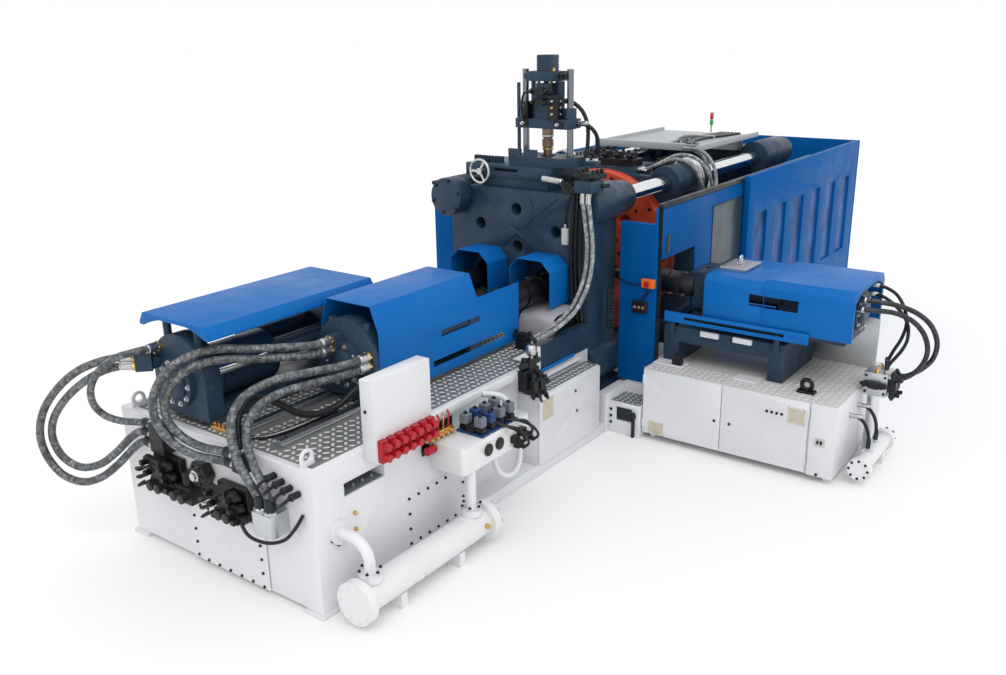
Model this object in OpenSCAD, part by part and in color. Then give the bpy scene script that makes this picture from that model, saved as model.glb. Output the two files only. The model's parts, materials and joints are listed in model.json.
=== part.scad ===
// Injection molding machine with two parallel injection units, a side unit and a vertical unit.
// Millimetres. X runs from the injection end to the clamp end, Z is up and the floor is Z = 0.
// X = 0 is the mould face of the fixed platen, Y = 0 is the machine centreline.

/* [General] */
// Thickness of folded cover sheet
sheet_t = 5; // [3:1:8]
// Running gap under sliding pieces
slide_gap = 0.3; // [0.1:0.1:1]
// Radial clearance of rods and seats in their bores
seat = 0.3; // [0.1:0.1:0.5]

/* [Injection bed] */
// Length of the injection bed
bed_len = 3770; // [3600:10:4000]
// Full width of the injection bed
bed_w = 2110; // [2000:10:2200]
// Depth of the service recess in the bed side
bed_recess = 205; // [180:5:240]
// Height of the bed top
bed_h = 1083; // [1040:1:1110]
// Length of the full width part of the bed
bed_near_len = 1610; // [1500:10:1700]
// Gap between the bed and the fixed platen
bed_gap = 40; // [20:5:80]
// Height of the bed feet
bed_foot_h = 30; // [20:1:50]
// Height of the beam over the service recess
beam_h = 70; // [50:5:90]
// Thickness of the tread plates
deck_t = 6; // [4:1:10]
// Bare rim round the tread plates
deck_rim = 60; // [40:5:90]
// Length of the lowered purge tray at the platen end
tray_len = 540; // [480:10:600]
// Depth of the purge tray below the bed top
tray_depth = 123; // [80:1:160]

/* [Injection units] */
// Height of the machine axis above the bed top
axis_rise = 317; // [300:1:340]
// Gap of each parallel unit from the centreline
unit_gap = 64; // [50:1:90]
// Width of each unit guide rail
rail_w = 60; // [40:2:80]
// Height of each unit guide rail
rail_h = 50; // [40:1:70]
// Width of the carriage castings
carriage_w = 590; // [560:2:620]
// Thickness of the carriage base
carriage_base_t = 70; // [50:5:90]
// Thickness of the carriage end plates
plate_t = 140; // [100:5:180]
// Height of the carriage end plates above the axis
plate_rise = 230; // [220:1:240]
// Length of the left carriage
left_len = 1600; // [1500:10:1650]
// Distance of the left carriage from the bed end
left_inset = 80; // [60:5:120]
// Distance of the left nozzle tip from the mould face
left_nozzle = 420; // [380:10:460]
// Length of the right carriage
right_len = 1300; // [1200:10:1400]
// Distance of the right carriage from the bed end
right_inset = 1030; // [980:10:1080]
// Distance of the right nozzle tip from the mould face
right_nozzle = 80; // [60:5:120]
// Barrel diameter under the heater bands
barrel_d = 210; // [180:2:230]
// Thickness of the heater bands
band_t = 16; // [10:1:20]
// Depth of the barrel seat in the feed block
barrel_seat = 90; // [60:5:120]
// Length of the feed block in front of the carriage
feed_len = 150; // [120:5:180]
// Height of the unit cover tops above the axis
cover_rise = 467; // [450:1:490]
// Height of the sloping side of the right cover
cover_slope = 197; // [160:1:220]
// Width of the flat top of the right cover
right_top_w = 450; // [400:5:500]
// Width of the flat top of the left cover
left_top_w = 710; // [660:5:720]

/* [Fixed platen] */
// Thickness of the fixed platen
platen_t = 520; // [460:10:580]
// Platen body outside the tie bar centres
platen_side = 80; // [60:5:100]
// Platen top above the upper tie bar centres
platen_rise = 110; // [90:5:130]
// Half spacing of the tie bars across the machine
tie_dy = 740; // [710:5:760]
// Half spacing of the tie bars up the machine
tie_dz = 790; // [770:5:810]
// Tie bar diameter
tie_d = 168; // [150:2:180]
// Radius of the corner bosses round the tie bars
boss_r = 190; // [175:1:200]
// Length of the tie bar end caps
cap_len = 200; // [150:5:240]
// Length of the sleeves on the mould side
sleeve_len = 245; // [180:5:280]
// Diameter of the four face holes
face_hole_d = 120; // [90:2:140]
// Clearance of the barrel holes round the barrels
barrel_room = 60; // [50:5:80]

/* [Clamp] */
// Width of each clamp base beam
beam_w = 100; // [80:5:120]
// Height of the cross members under the clamp
cross_h = 160; // [140:5:200]
// Distance of the rotary table face from the mould face
table_x = 1000; // [950:10:1100]
// Clearance of the rotary table inside the tie bars
table_gap = 98; // [80:1:120]
// Thickness of the rotary table
table_t = 160; // [120:5:200]
// Thickness of the moving platen
moving_t = 640; // [560:10:700]
// Distance of the rear platen from the mould face
rear_x = 3720; // [3650:10:3800]
// Thickness of the rear platen
rear_t = 700; // [600:10:760]
// Radius of the clamp ram
ram_r = 250; // [220:5:280]
// Wall of the clamp cylinder
ram_wall = 90; // [70:5:110]
// Length of the clamp cylinder in front of the rear platen
cylinder_len = 900; // [850:10:950]
// Length of the clamp cylinder behind the rear platen
cylinder_tail = 250; // [200:10:300]
// Room between the clamp cylinder and the end guard
end_room = 930; // [800:10:1000]

/* [Guards] */
// Distance of the guard inner face outside the tie bar bosses
guard_room = 470; // [450:5:500]
// Thickness of the guard panels
guard_t = 70; // [50:2:90]
// Near end of the clamp guards
guard_x0 = 1750; // [1700:10:1800]
// Thickness of the sliding door
door_t = 30; // [20:2:40]
// Overlap of the door inside the guard
door_lap = 100; // [80:5:120]
// Width of each guard column
column_w = 400; // [360:10:400]
// Thickness of each guard column
column_t = 90; // [70:5:110]

/* [Side unit] */
// Distance of the side unit axis behind the mould face
side_x = 215; // [205:1:235]
// Distance of the side cabinet doors in front of the mould face
side_front = 477; // [450:1:500]
// Depth of the side cabinet along the machine
side_depth = 1374; // [1300:2:1440]
// Side cabinet top below the bed top
side_drop = 361; // [340:1:380]
// Distance of the side carriage front from the guard
side_gap = 400; // [380:5:430]
// Length of the side carriage
side_len = 1330; // [1260:10:1380]
// Side cabinet beyond the side carriage
side_tail = 110; // [90:5:140]
// Distance of the side nozzle tip from the centreline
side_nozzle = 560; // [520:10:600]
// Width of the side cover
side_cover_w = 885; // [860:5:920]
// Width of the left door of the side cabinet
side_door_w = 786; // [740:2:800]
// Thickness of the cabinet doors
skin = 22; // [16:1:30]
// Wall of the cabinets
cabinet_wall = 20; // [15:1:30]

/* [Vertical unit] */
// Vertical unit axis in front of the mould face
vert_x = 200; // [180:5:220]
// Vertical unit axis from the centreline
vert_y = 150; // [130:5:170]
// Half spacing of the two guide columns
column_dy = 256; // [240:2:280]
// Diameter of the guide columns
column_d = 64; // [54:2:74]
// Height of the guide column tops above the platen
column_rise = 1120; // [1080:10:1160]
// Height of the crosshead underside above the platen
crosshead_rise = 570; // [540:5:600]
// Handwheel centre from the centreline
wheel_y = 387; // [370:1:400]
// Radius of the handwheel rim
wheel_r = 112; // [100:1:120]

/* [Service equipment] */
// Height of the oil cooler axis
cooler_z = 200; // [190:5:230]
// Radius of the oil cooler tube
cooler_r = 115; // [100:5:125]
// Length of the oil cooler
cooler_len = 1430; // [1400:10:1480]
// Length of the terminal panel
panel_len = 590; // [560:5:610]
// Height of the terminal panel
panel_h = 592; // [560:2:620]
// Number of water regulators in a row
regulators = 7; // [5:1:7]
// Length of the control cabinet
cabinet_len = 1038; // [980:2:1080]
// Radius of the large hoses
hose_r = 30; // [24:1:34]

/* [Hidden] */
$fn = 64;
eps = 1;
bed_x1 = -platen_t - bed_gap;
bed_x0 = bed_x1 - bed_len;
bed_mid_x = bed_x0 + bed_near_len;
bed_hw = bed_w / 2;
bed_nw = bed_hw - bed_recess;
tray_x = bed_x1 - tray_len;
deck_z = bed_h + deck_t;
rail_z = deck_z + rail_h;
axis_z = bed_h + axis_rise;
carriage_z = rail_z + slide_gap;
carriage_hw = carriage_w / 2;
rail_dy = carriage_hw - rail_w / 2 - 64;
unit_dy = carriage_hw + sheet_t + unit_gap;
plate_top = axis_z + plate_rise;
left_fx = bed_x0 + left_inset + left_len;
right_fx = bed_x0 + right_inset + right_len;
barrel_r = barrel_d / 2;
feed_hw = barrel_r + 65;
cover_z = axis_z + cover_rise;
arch_z = axis_z + 60;
shoulder_z = cover_z - cover_slope;
tie_r = tie_d / 2;
tie_hi = axis_z + tie_dz;
tie_lo = axis_z - tie_dz;
platen_hw = tie_dy + platen_side;
platen_z = tie_hi + platen_rise;
base_h = tie_lo - boss_r - 20;
base_hw = tie_dy + boss_r + 30 + beam_w;
table_r = norm([tie_dy, tie_dz]) - tie_r - table_gap;
moving_x = table_x + table_t + 10;
moving_x1 = moving_x + moving_t;
ram_x1 = rear_x - 120;
clamp_len = rear_x + rear_t + cylinder_tail + end_room + guard_t;
guard_z0 = base_h + 30;
guard_z1 = tie_hi + 50;
guard_dy = tie_dy + boss_r + guard_room;
guard_out = guard_dy + guard_t;
door_x0 = -130;
door_x1 = guard_x0 + door_lap;
door_y = -guard_dy + 10;
door_z0 = guard_z0 + 15 + slide_gap;
door_z1 = guard_z1 - 60;
window_z0 = axis_z - 100;
column_x = -150;
column_y = guard_dy - 50 - column_w / 2;
side_y = guard_dy + side_gap;
side_y1 = -guard_dy - 13;
side_y0 = -side_y - side_len - side_tail;
side_x0 = -side_front;
side_x1 = side_x0 + side_depth;
side_h = bed_h - side_drop;
side_deck_z = side_h + deck_t;
door_split = side_y1 - side_door_w - 8;
door_end = side_y0 + 235;
base_top_z = platen_z + 220;
saddle_z = base_top_z + 80;
crosshead_z = platen_z + crosshead_rise;
column_z = platen_z + column_rise;
cooler_x = bed_x0 + 30;
cooler_y = -bed_hw - 275;
stub_dx = 165;
stub_z = cooler_z + cooler_r + 15;
filter_x0 = cooler_x + cooler_len - stub_dx - 140;
filter_y0 = -bed_hw - 325;
filter_z = bed_h - 407;
filter_h = 214;
panel_x = bed_x0 + 473;
cab_x1 = bed_x1 - 144;
cab_x0 = cab_x1 - cabinet_len;
cab_z0 = 110;
cab_z1 = bed_h - 326;
knuckle_r = 8;

// Hose routes, each from the moving or upper end to its fixed end.
left_routes = [
  [[-48, 683, 170], [-110, 745, 170], [-210, 890, 135], [-300, 1070, 45], [-380, 1245, -110],
    [-435, 1385, -300], [-455, 1450, -500], [-440, 1425, -680], [-400, 1310, -815],
    [-335, 1150, -855], [-250, 1020, -808], [-160, 918, -705], [-100, 820, -592], [-70, 728, -518],
    [-60, 630, -494], [-60, 560.5, -494]],
  [[-48, 683, 105], [-110, 745, 105], [-205, 885, 58], [-285, 1060, -55], [-345, 1240, -215],
    [-380, 1370, -390], [-385, 1405, -550], [-360, 1345, -690], [-310, 1205, -755],
    [-240, 1045, -715], [-165, 915, -605], [-105, 822, -497], [-71, 733, -432], [-60, 630, -410],
    [-60, 560.5, -410]],
  [[79.5, 560, 240], [0, 560, 240], [-105, 590, 236], [-205, 680, 200], [-275, 800, 100],
    [-305, 890, -40], [-285, 925, -180], [-225, 895, -285], [-150, 815, -335], [-85, 715, -343],
    [-60, 630, -341], [-60, 560.5, -341]]];
right_routes = [
  [[939.5, -315, 200], [850, -315, 200], [720, -255, 203], [570, -150, 215], [400, -50, 235],
    [230, 5, 275], [50, 45, 290], [-95, 100, 250], [-210, 160, 140], [-270, 190, -10],
    [-270, 165, -160], [-235, 70, -290], [-175, -60, -368], [-105, -180, -398], [-66, -290, -405],
    [-60, -345, -405], [-60, -379.5, -405]],
  [[939.5, -315, 130], [850, -315, 130], [720, -260, 130], [570, -170, 143], [400, -75, 162],
    [230, -15, 200], [60, 30, 212], [-70, 75, 175], [-165, 125, 80], [-210, 150, -40],
    [-205, 125, -165], [-170, 40, -265], [-125, -90, -320], [-80, -210, -335], [-60, -310, -335],
    [-60, -379.5, -335]],
  [[1029.5, -610, 100], [930, -610, 100], [760, -575, 98], [560, -495, 100], [330, -410, 100],
    [110, -380, 70], [-40, -395, 0], [-125, -440, -110], [-152, -490, -240], [-148, -548, -365],
    [-134, -612, -469], [-123, -648, -540], [-120, -660, -600], [-120, -660, -639.5]],
  [[1029.5, -610, 30], [930, -610, 30], [760, -590, 27], [560, -530, 25], [330, -465, 20],
    [130, -455, -10], [0, -475, -85], [-60, -512, -200], [-87, -590, -335], [-104, -690, -445],
    [-116, -743, -530], [-120, -760, -605], [-120, -760, -639.5]]];
droop_route = [[1029.5, -600, -90], [960, -600, -90], [870, -590, -125], [770, -565, -190],
  [670, -530, -222], [560, -490, -225], [450, -440, -185], [360, -395, -110], [265, -360, -40],
  [160, -350, 5], [60, -360, -12], [-22, -392, -90], [-55, -428, -185], [-60, -435, -240],
  [-60, -435, -294.5]];
side_routes = [
  [[-155, 109.5, 140], [-155, 30, 140], [-110, -100, 128], [-25, -240, 95], [45, -380, 30],
    [80, -490, -70], [85, -550, -210], [75, -535, -350], [58, -465, -450], [43, -378, -519],
    [36, -318, -545], [35, -270, -550], [35, -230.5, -550]],
  [[-215, 109.5, 70], [-215, 30, 70], [-170, -90, 66], [-85, -220, 45], [-15, -350, -20],
    [12, -445, -120], [16, -490, -230], [8, -492, -330], [-10, -457, -425], [-30, -397, -497],
    [-41, -335, -537], [-45, -268, -550], [-45, -230.5, -550]]];
thin_side_routes = [
  [[205, 109.5, 190], [205, 40, 190], [215, -60, 175], [200, -160, 125], [155, -240, 30],
    [115, -280, -90], [75, -262, -220], [45, -212, -340], [35, -180, -440], [35, -180, -509.5]],
  [[160, 109.5, 120], [160, 40, 120], [145, -70, 105], [105, -200, 35], [60, -300, -75],
    [15, -325, -190], [-14, -303, -280], [-34, -258, -362], [-43, -216, -430], [-45, -200, -478],
    [-45, -200, -509.5]]];
vertical_routes = [
  [[70, -100.5, 820], [70, -165, 820], [82, -250, 800], [98, -330, 730], [110, -375, 630],
    [113, -388, 520], [111, -384, 400], [110, -380, 320], [110, -380, 260.5]],
  [[62, -301.5, 615], [62, -345, 615], [72, -420, 595], [92, -475, 540], [112, -497, 465],
    [130, -482, 385], [140, -455, 310], [140, -455, 260.5]]];
clamp_routes = [
  [[1340, -330.5, 890], [1340, -400, 890], [1350, -560, 955], [1370, -730, 1020], [1400, -880, 1000],
    [1435, -980, 900], [1475, -1025, 780], [1550, -1030, 680], [1655, -1005, 635], [1755, -985, 675],
    [1828, -968, 770], [1866, -932, 880], [1885, -868, 970], [1893, -795, 1027], [1900, -735, 1052],
    [1928, -685, 1063], [1980, -650, 1069], [2045, -640, 1070], [2089.5, -640, 1070]],
  [[1410, -330.5, 890], [1410, -400, 890], [1418, -565, 970], [1435, -755, 1060], [1462, -930, 1045],
    [1495, -1050, 950], [1535, -1100, 825], [1590, -1110, 720], [1680, -1090, 668],
    [1770, -1065, 700], [1822, -1040, 795], [1842, -1000, 900], [1848, -930, 1000], [1849, -850, 1058],
    [1851, -770, 1080], [1856, -695, 1083], [1880, -630, 1080], [1935, -580, 1073], [2010, -560, 1070],
    [2089.5, -560, 1070]]];
platen_routes = [
  [[-600, -800, 949.5], [-600, -800, 880], [-603, -825, 700], [-612, -856, 500], [-632, -868, 330],
    [-680, -870, 170], [-765, -865, 30], [-885, -850, -90], [-1040, -815, -180], [-1210, -770, -240],
    [-1350, -738, -265], [-1420, -730, -270], [-1479.5, -730, -270]],
  [[-600, -862, 949.5], [-600, -862, 880], [-603, -887, 700], [-612, -918, 500], [-632, -930, 330],
    [-680, -932, 170], [-765, -927, 30], [-885, -912, -90], [-1040, -877, -180], [-1210, -832, -240],
    [-1350, -800, -265], [-1420, -792, -270], [-1479.5, -792, -270]]];
drain_routes = [
  [[-320, -0.5, 540], [-320, -60, 540], [-318, -120, 505], [-313, -165, 420], [-310, -180, 330],
    [-310, -180, 240.5]],
  [[-90, -0.5, 560], [-90, -60, 560], [-88, -120, 525], [-83, -165, 440], [-80, -180, 340],
    [-80, -180, 240.5]]];

function unit_vec(v) = v / norm(v);

function spline_at(a, b, c, d, t) =
  0.5 * (2 * b + (c - a) * t + (2 * a - 5 * b + 4 * c - d) * t * t + (3 * b - a - 3 * c + d) * t * t * t);

// Smooth curve through the points of a route, n samples to a span.
function smooth(p, n) = let (k = len(p) - 1) concat(
  [for (i = [0 : k - 1], j = [0 : n - 1]) spline_at(p[max(i - 1, 0)], p[i], p[i + 1], p[min(i + 2, k)], j / n)],
  [p[k]]);

// Directions along a curve; its ends stay square to what the hose comes out of.
function tangents(p, route) = let (k = len(p) - 1, e = len(route) - 1) concat(
  [unit_vec(route[1] - route[0])],
  [for (i = [1 : k - 1]) unit_vec(p[i + 1] - p[i - 1])],
  [unit_vec(route[e] - route[e - 1])]);

// Ring directions carried along a curve without twist.
function carried(t, i = 0, acc = []) = i == len(t) ? acc : let (
  u = i == 0 ? (abs(t[0].z) > 0.9 ? [1, 0, 0] : [0, 0, 1]) : acc[i - 1])
  carried(t, i + 1, concat(acc, [unit_vec(u - (u * t[i]) * t[i])]));

module hose(route, r, sides = 10) {
  p = smooth(route, 2);
  t = tangents(p, route);
  u = carried(t);
  k = len(p) - 1;
  pts = [for (i = [0 : k], j = [0 : sides - 1])
    p[i] + r * cos(j * 360 / sides) * u[i] + r * sin(j * 360 / sides) * cross(t[i], u[i])];
  walls = [for (i = [0 : k - 1], j = [0 : sides - 1])
    [i * sides + j, (i + 1) * sides + j, (i + 1) * sides + (j + 1) % sides, i * sides + (j + 1) % sides]];
  caps = [[for (j = [0 : sides - 1]) j], [for (j = [sides - 1 : -1 : 0]) k * sides + j]];
  polyhedron(pts, concat(walls, caps));
}

module slab(x0, x1, y0, y1, z0, z1) {
  translate([x0, y0, z0]) cube([x1 - x0, y1 - y0, z1 - z0]);
}

// A slab centred on Y = y.
module block(x0, x1, y, w, z0, z1) {
  slab(x0, x1, y - w / 2, y + w / 2, z0, z1);
}

module xcyl(x0, x1, y, z, r) {
  translate([x0, y, z]) rotate([0, 90, 0]) cylinder(h = x1 - x0, r = r);
}

module ycyl(y0, y1, x, z, r) {
  translate([x, y0, z]) rotate([-90, 0, 0]) cylinder(h = y1 - y0, r = r);
}

module zcyl(z0, z1, x, y, r) {
  translate([x, y, z0]) cylinder(h = z1 - z0, r = r);
}

// Extrudes a profile drawn in Y and Z along X.
module along_x(x0, x1) {
  translate([x0, 0, 0]) rotate([90, 0, 90]) linear_extrude(x1 - x0) children();
}

module at_ties() {
  for (sy = [-1, 1], z = [tie_lo, tie_hi]) translate([0, sy * tie_dy, z]) children();
}

module hood_2d(hw, top_hw, z_low, z_shoulder, z_top) {
  polygon([[-hw, z_low], [-hw, z_shoulder], [-top_hw, z_top], [top_hw, z_top],
    [hw, z_shoulder], [hw, z_low]]);
}

// A folded sheet hood open below and at both ends.
module hood(x0, x1, hw, top_hw, z_low, z_shoulder, z_top) {
  along_x(x0, x1) difference() {
    hood_2d(hw, top_hw, z_low, z_shoulder, z_top);
    hood_2d(hw - sheet_t, top_hw - sheet_t / 2, z_low - eps, z_shoulder - sheet_t / 2, z_top - sheet_t);
  }
}

// An end flange inside a hood, with a round-topped opening.
module hood_lip(x0, hw, top_hw, z_low, z_shoulder, z_top, lip) {
  along_x(x0, x0 + sheet_t) difference() {
    hood_2d(hw, top_hw, z_low, z_shoulder, z_top);
    translate([lip - hw, z_low - eps]) square([2 * (hw - lip), z_shoulder - z_low - 60]);
    intersection() {
      translate([0, z_shoulder - 2 * hw + 60]) circle(2 * hw);
      translate([lip - hw, z_low]) square([2 * (hw - lip), z_top - z_low - lip]);
    }
  }
}

module lifting_eye(x, y, z) {
  translate([x, y + 10, z]) rotate([90, 0, 0]) linear_extrude(20) difference() {
    union() {
      translate([-60, 0]) square([120, 60]);
      translate([0, 60]) circle(60);
    }
    translate([0, 65]) circle(30);
  }
}

module injection_bed() {
  foot_w = 180;
  rail_foot = 220;
  color("white") difference() {
    union() {
      slab(bed_x0, bed_mid_x, -bed_hw, bed_hw, bed_foot_h, bed_h);
      slab(bed_mid_x, bed_x1, -bed_nw, bed_nw, bed_foot_h, bed_h);
      slab(bed_mid_x, cab_x0 - 60, -bed_hw, bed_hw, bed_h - beam_h, bed_h);
      for (s = [-1, 1]) {
        block(bed_x0 - 25, bed_x0 + 175, s * (bed_hw + 25 - foot_w / 2), foot_w, 0, bed_foot_h);
        block(bed_mid_x - 250, bed_x1, s * (bed_hw - rail_foot / 2), rail_foot, 0, cab_z0);
        lifting_eye(bed_x0 + 80, s * (bed_hw - 125), bed_h);
      }
    }
    slab(tray_x, bed_x1 + eps, -bed_nw + 100, bed_nw - 100, bed_h - tray_depth, bed_h + eps);
    slab(bed_x0 + 275, bed_x0 + 670, -bed_hw - eps, -bed_hw + 160, bed_h - 283, bed_h - 183);
    slab(bed_x0 + 1210, bed_mid_x + eps, -bed_hw - eps, -bed_nw, bed_h - 353, bed_h - beam_h);
  }
}

module deck_plates() {
  x0 = bed_x0 + deck_rim;
  x1 = tray_x - 30;
  x2 = cab_x0 - 60;
  hw = bed_hw - deck_rim;
  nw = bed_nw - 20;
  eye_y = bed_hw - 125;
  color("gray") {
    difference() {
      translate([0, 0, bed_h]) linear_extrude(deck_t) polygon([[x0, -hw], [x2, -hw], [x2, -nw],
        [x1, -nw], [x1, nw], [x2, nw], [x2, hw], [x0, hw]]);
      for (s = [-1, 1]) block(bed_x0 + 10, bed_x0 + 150, s * eye_y, 40, bed_h - eps, deck_z + eps);
    }
    slab(side_x0 + 20, side_x1 - 10, side_y0 + 10, side_y1 - 10, side_h, side_deck_z);
  }
}

module rail(x0, x1, y) {
  along_x(x0, x1) translate([y, deck_z]) polygon([[-rail_w / 2, 0], [-rail_w / 2, rail_h * 0.35],
    [-rail_w / 3, rail_h * 0.5], [-rail_w / 2, rail_h * 0.65], [-rail_w / 2, rail_h],
    [rail_w / 2, rail_h], [rail_w / 2, rail_h * 0.65], [rail_w / 3, rail_h * 0.5],
    [rail_w / 2, rail_h * 0.35], [rail_w / 2, 0]]);
}

module unit_rails() {
  color("silver") for (s = [-1, 1], d = [-1, 1])
    rail(bed_x0 + 160, tray_x - 190, s * unit_dy + d * rail_dy);
}

// Outline of a carriage end plate, with a round head where it has an arch.
module plate_2d(arch) {
  if (arch) {
    translate([-carriage_hw, carriage_z]) square([carriage_w, arch_z - carriage_z]);
    translate([0, arch_z]) circle(carriage_hw);
  } else {
    translate([-carriage_hw, carriage_z]) square([carriage_w, plate_top - carriage_z]);
  }
}

// Carriage of an injection unit with its front face at X = 0 and its axis on Y = 0.
module carriage(len, arch, post_z) {
  hw = carriage_hw;
  cyl_y = hw - 85;
  cyl_z = axis_z + 70;
  post_y = hw - 60;
  difference() {
    union() {
      slab(-len, 0, -hw, hw, carriage_z, carriage_z + carriage_base_t);
      slab(-plate_t, 0, -hw, hw, carriage_z, plate_top);
      along_x(-len, plate_t - len) plate_2d(arch);
      slab(0, feed_len, -feed_hw, feed_hw, carriage_z + carriage_base_t + 20, axis_z + feed_hw);
      slab(10, feed_len + 20, -feed_hw - 30, feed_hw + 30, axis_z + feed_hw - eps, axis_z + feed_hw + 25);
      translate([-len, 0, axis_z]) rotate([0, 90, 0]) rotate_extrude() polygon([[0, -80], [100, -80],
        [130, -60], [130, -45], [180, -45], [180, plate_t], [240, plate_t], [240, plate_t + 60],
        [200, plate_t + 110], [200, len * 0.48], [130, len * 0.52], [85, len * 0.52],
        [85, len - plate_t / 2], [0, len - plate_t / 2]]);
      for (s = [-1, 1]) {
        xcyl(-len * 0.55, -plate_t / 2, s * cyl_y, cyl_z, 70);
        xcyl(-len + plate_t / 2, -len * 0.5, s * cyl_y, cyl_z, 38);
        if (arch) zcyl(arch_z + hw * 0.7, post_z, -len + plate_t / 2, s * hw * 0.6, 30);
        if (arch) zcyl(plate_top - eps, post_z, -plate_t / 2, s * post_y, 30);
      }
    }
    xcyl(feed_len - barrel_seat, feed_len + eps, 0, axis_z, barrel_r + seat);
    zcyl(axis_z, axis_z + feed_hw + 26, feed_len / 2, 0, 45);
  }
}

// Barrel with heater bands and nozzle, its rear end at X = 0 and its axis on Y = 0.
module barrel(len, r) {
  body = len - 330;
  bands = 5;
  pitch = (body - barrel_seat - 70) / bands;
  color("gray") translate([0, 0, axis_z]) rotate([0, 90, 0]) {
    cylinder(h = body, r = r);
    for (i = [0 : bands - 1])
      translate([0, 0, barrel_seat + 40 + i * pitch]) cylinder(h = pitch - 50, r = r + band_t);
    translate([0, 0, body - eps]) cylinder(h = 100, r = r * 0.9);
    translate([0, 0, body + 90]) cylinder(h = 150, r = r * 0.5);
    translate([0, 0, body + 230]) cylinder(h = 100, r1 = r * 0.4, r2 = r * 0.15);
  }
}

module left_carriage() {
  color("dimgray") translate([left_fx, unit_dy, 0]) {
    carriage(left_len, true, cover_z - sheet_t);
    slab(-left_len - 60, -left_len + eps, 200, 270, axis_z + 75, axis_z + 150);
    translate([-left_len - 85, 276, axis_z + 137]) rotate([0, 0, 45]) cube([110, 120, 145], center = true);
  }
}

module left_barrel() {
  x = left_fx + feed_len - barrel_seat;
  translate([x, unit_dy, 0]) barrel(-left_nozzle - x, barrel_r);
}

module left_cover() {
  hw = left_top_w / 2;
  color("royalblue") translate([left_fx, unit_dy, 0]) {
    hood(-left_len, 50, hw + 45, hw, cover_z - 95, cover_z - 75, cover_z);
    hood_lip(-left_len - sheet_t, hw + 45, hw, cover_z - 95, cover_z - 75, cover_z, 30);
  }
}

module right_carriage() {
  color("dimgray") translate([right_fx, -unit_dy, 0]) {
    carriage(right_len, true, shoulder_z + 60);
    slab(-right_len - 90, -right_len + eps, 14, 84, axis_z + 90, axis_z + 239);
  }
}

module right_barrel() {
  x = right_fx + feed_len - barrel_seat;
  translate([x, -unit_dy, 0]) barrel(-right_nozzle - x, barrel_r);
}

module right_cover() {
  x0 = -right_len + 60;
  hw = carriage_hw + sheet_t;
  z0 = carriage_z + 5;
  color("royalblue") translate([right_fx, -unit_dy, 0]) {
    difference() {
      hood(x0, 550, hw, right_top_w / 2, z0, shoulder_z, cover_z);
      slab(-50, 551, -hw - eps, hw + eps, shoulder_z - 2, cover_z + eps);
      slab(-520, -20, -hw - eps, -hw + 30, axis_z + 55, axis_z + 105);
      slab(-630, 330, -hw - eps, -hw + 30, axis_z - 175, axis_z - 125);
    }
  }
}

module fixed_platen() {
  foot_hw = base_hw - beam_w - 20;
  star_z = axis_z + 525;
  color("slategray") difference() {
    union() {
      slab(-platen_t, 0, -platen_hw, platen_hw, base_h - 20, platen_z);
      slab(-platen_t, 120, -foot_hw, foot_hw, 0, base_h - 20);
      at_ties() xcyl(-platen_t, 0, 0, 0, boss_r);
      at_ties() xcyl(-eps, sleeve_len, 0, 0, boss_r - 30);
      xcyl(-platen_t - 12, -platen_t + eps, 0, axis_z + 710, face_hole_d * 1.6);
      slab(-platen_t - 140, -platen_t + 90, -tie_dy - 180, -tie_dy, platen_z + 50, platen_z + 160);
      for (s = [-1, 1]) translate([0, 0, star_z]) rotate([s * 39, 0, 0])
        slab(-platen_t - 8, -platen_t + eps, -560, 560, -45, 45);
    }
    at_ties() xcyl(-platen_t - eps, sleeve_len + eps, 0, 0, tie_r + seat);
    for (s = [-1, 1]) {
      xcyl(-platen_t - 30, eps, s * unit_dy, axis_z, barrel_r + barrel_room);
      xcyl(-platen_t - 30, eps, s * 450, star_z, face_hole_d / 2);
      translate([0, s * unit_dy, 0]) slab(-platen_t - 30, -platen_t, -245, 245, axis_z - 144, axis_z + 320);
    }
    for (z = [axis_z + 335, axis_z + 710]) xcyl(-platen_t - 30, eps, 0, z, face_hole_d / 2);
    zcyl(platen_z - 130, platen_z + eps, -vert_x, -vert_y, 80);
  }
}

module tie_bars() {
  color("silver") at_ties() xcyl(-platen_t, rear_x + rear_t + 150, 0, 0, tie_r);
}

module tie_bar_caps() {
  x1 = rear_x + rear_t;
  color("slategray") {
    xcyl(-platen_t - cap_len, -platen_t, tie_dy, tie_hi, boss_r);
    xcyl(-platen_t - 15, -platen_t, -tie_dy, tie_hi, boss_r - 70);
    for (s = [-1, 1]) xcyl(-platen_t - bed_gap / 2, -platen_t, s * tie_dy, tie_lo, boss_r - 50);
    at_ties() difference() {
      xcyl(x1, x1 + 150, 0, 0, boss_r - 20);
      xcyl(x1 - eps, x1 + 151, 0, 0, tie_r + seat);
    }
  }
}

module unit_guards() {
  x = side_base_hw() + 60;
  color("royalblue") {
    for (s = [-1, 1]) translate([0, s * unit_dy, 0])
      hood(-platen_t - 330, -platen_t, 235, 135, axis_z - 144, axis_z + 210, axis_z + 310);
    side_frame() difference() {
      slab(-side_y - 1070, -side_y + 300, x, x + 8, deck_z + 60, deck_z + 160);
      slab(-side_y - 850, -side_y + 100, x - eps, x + 9, deck_z + 95, deck_z + 125);
    }
  }
}

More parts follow.
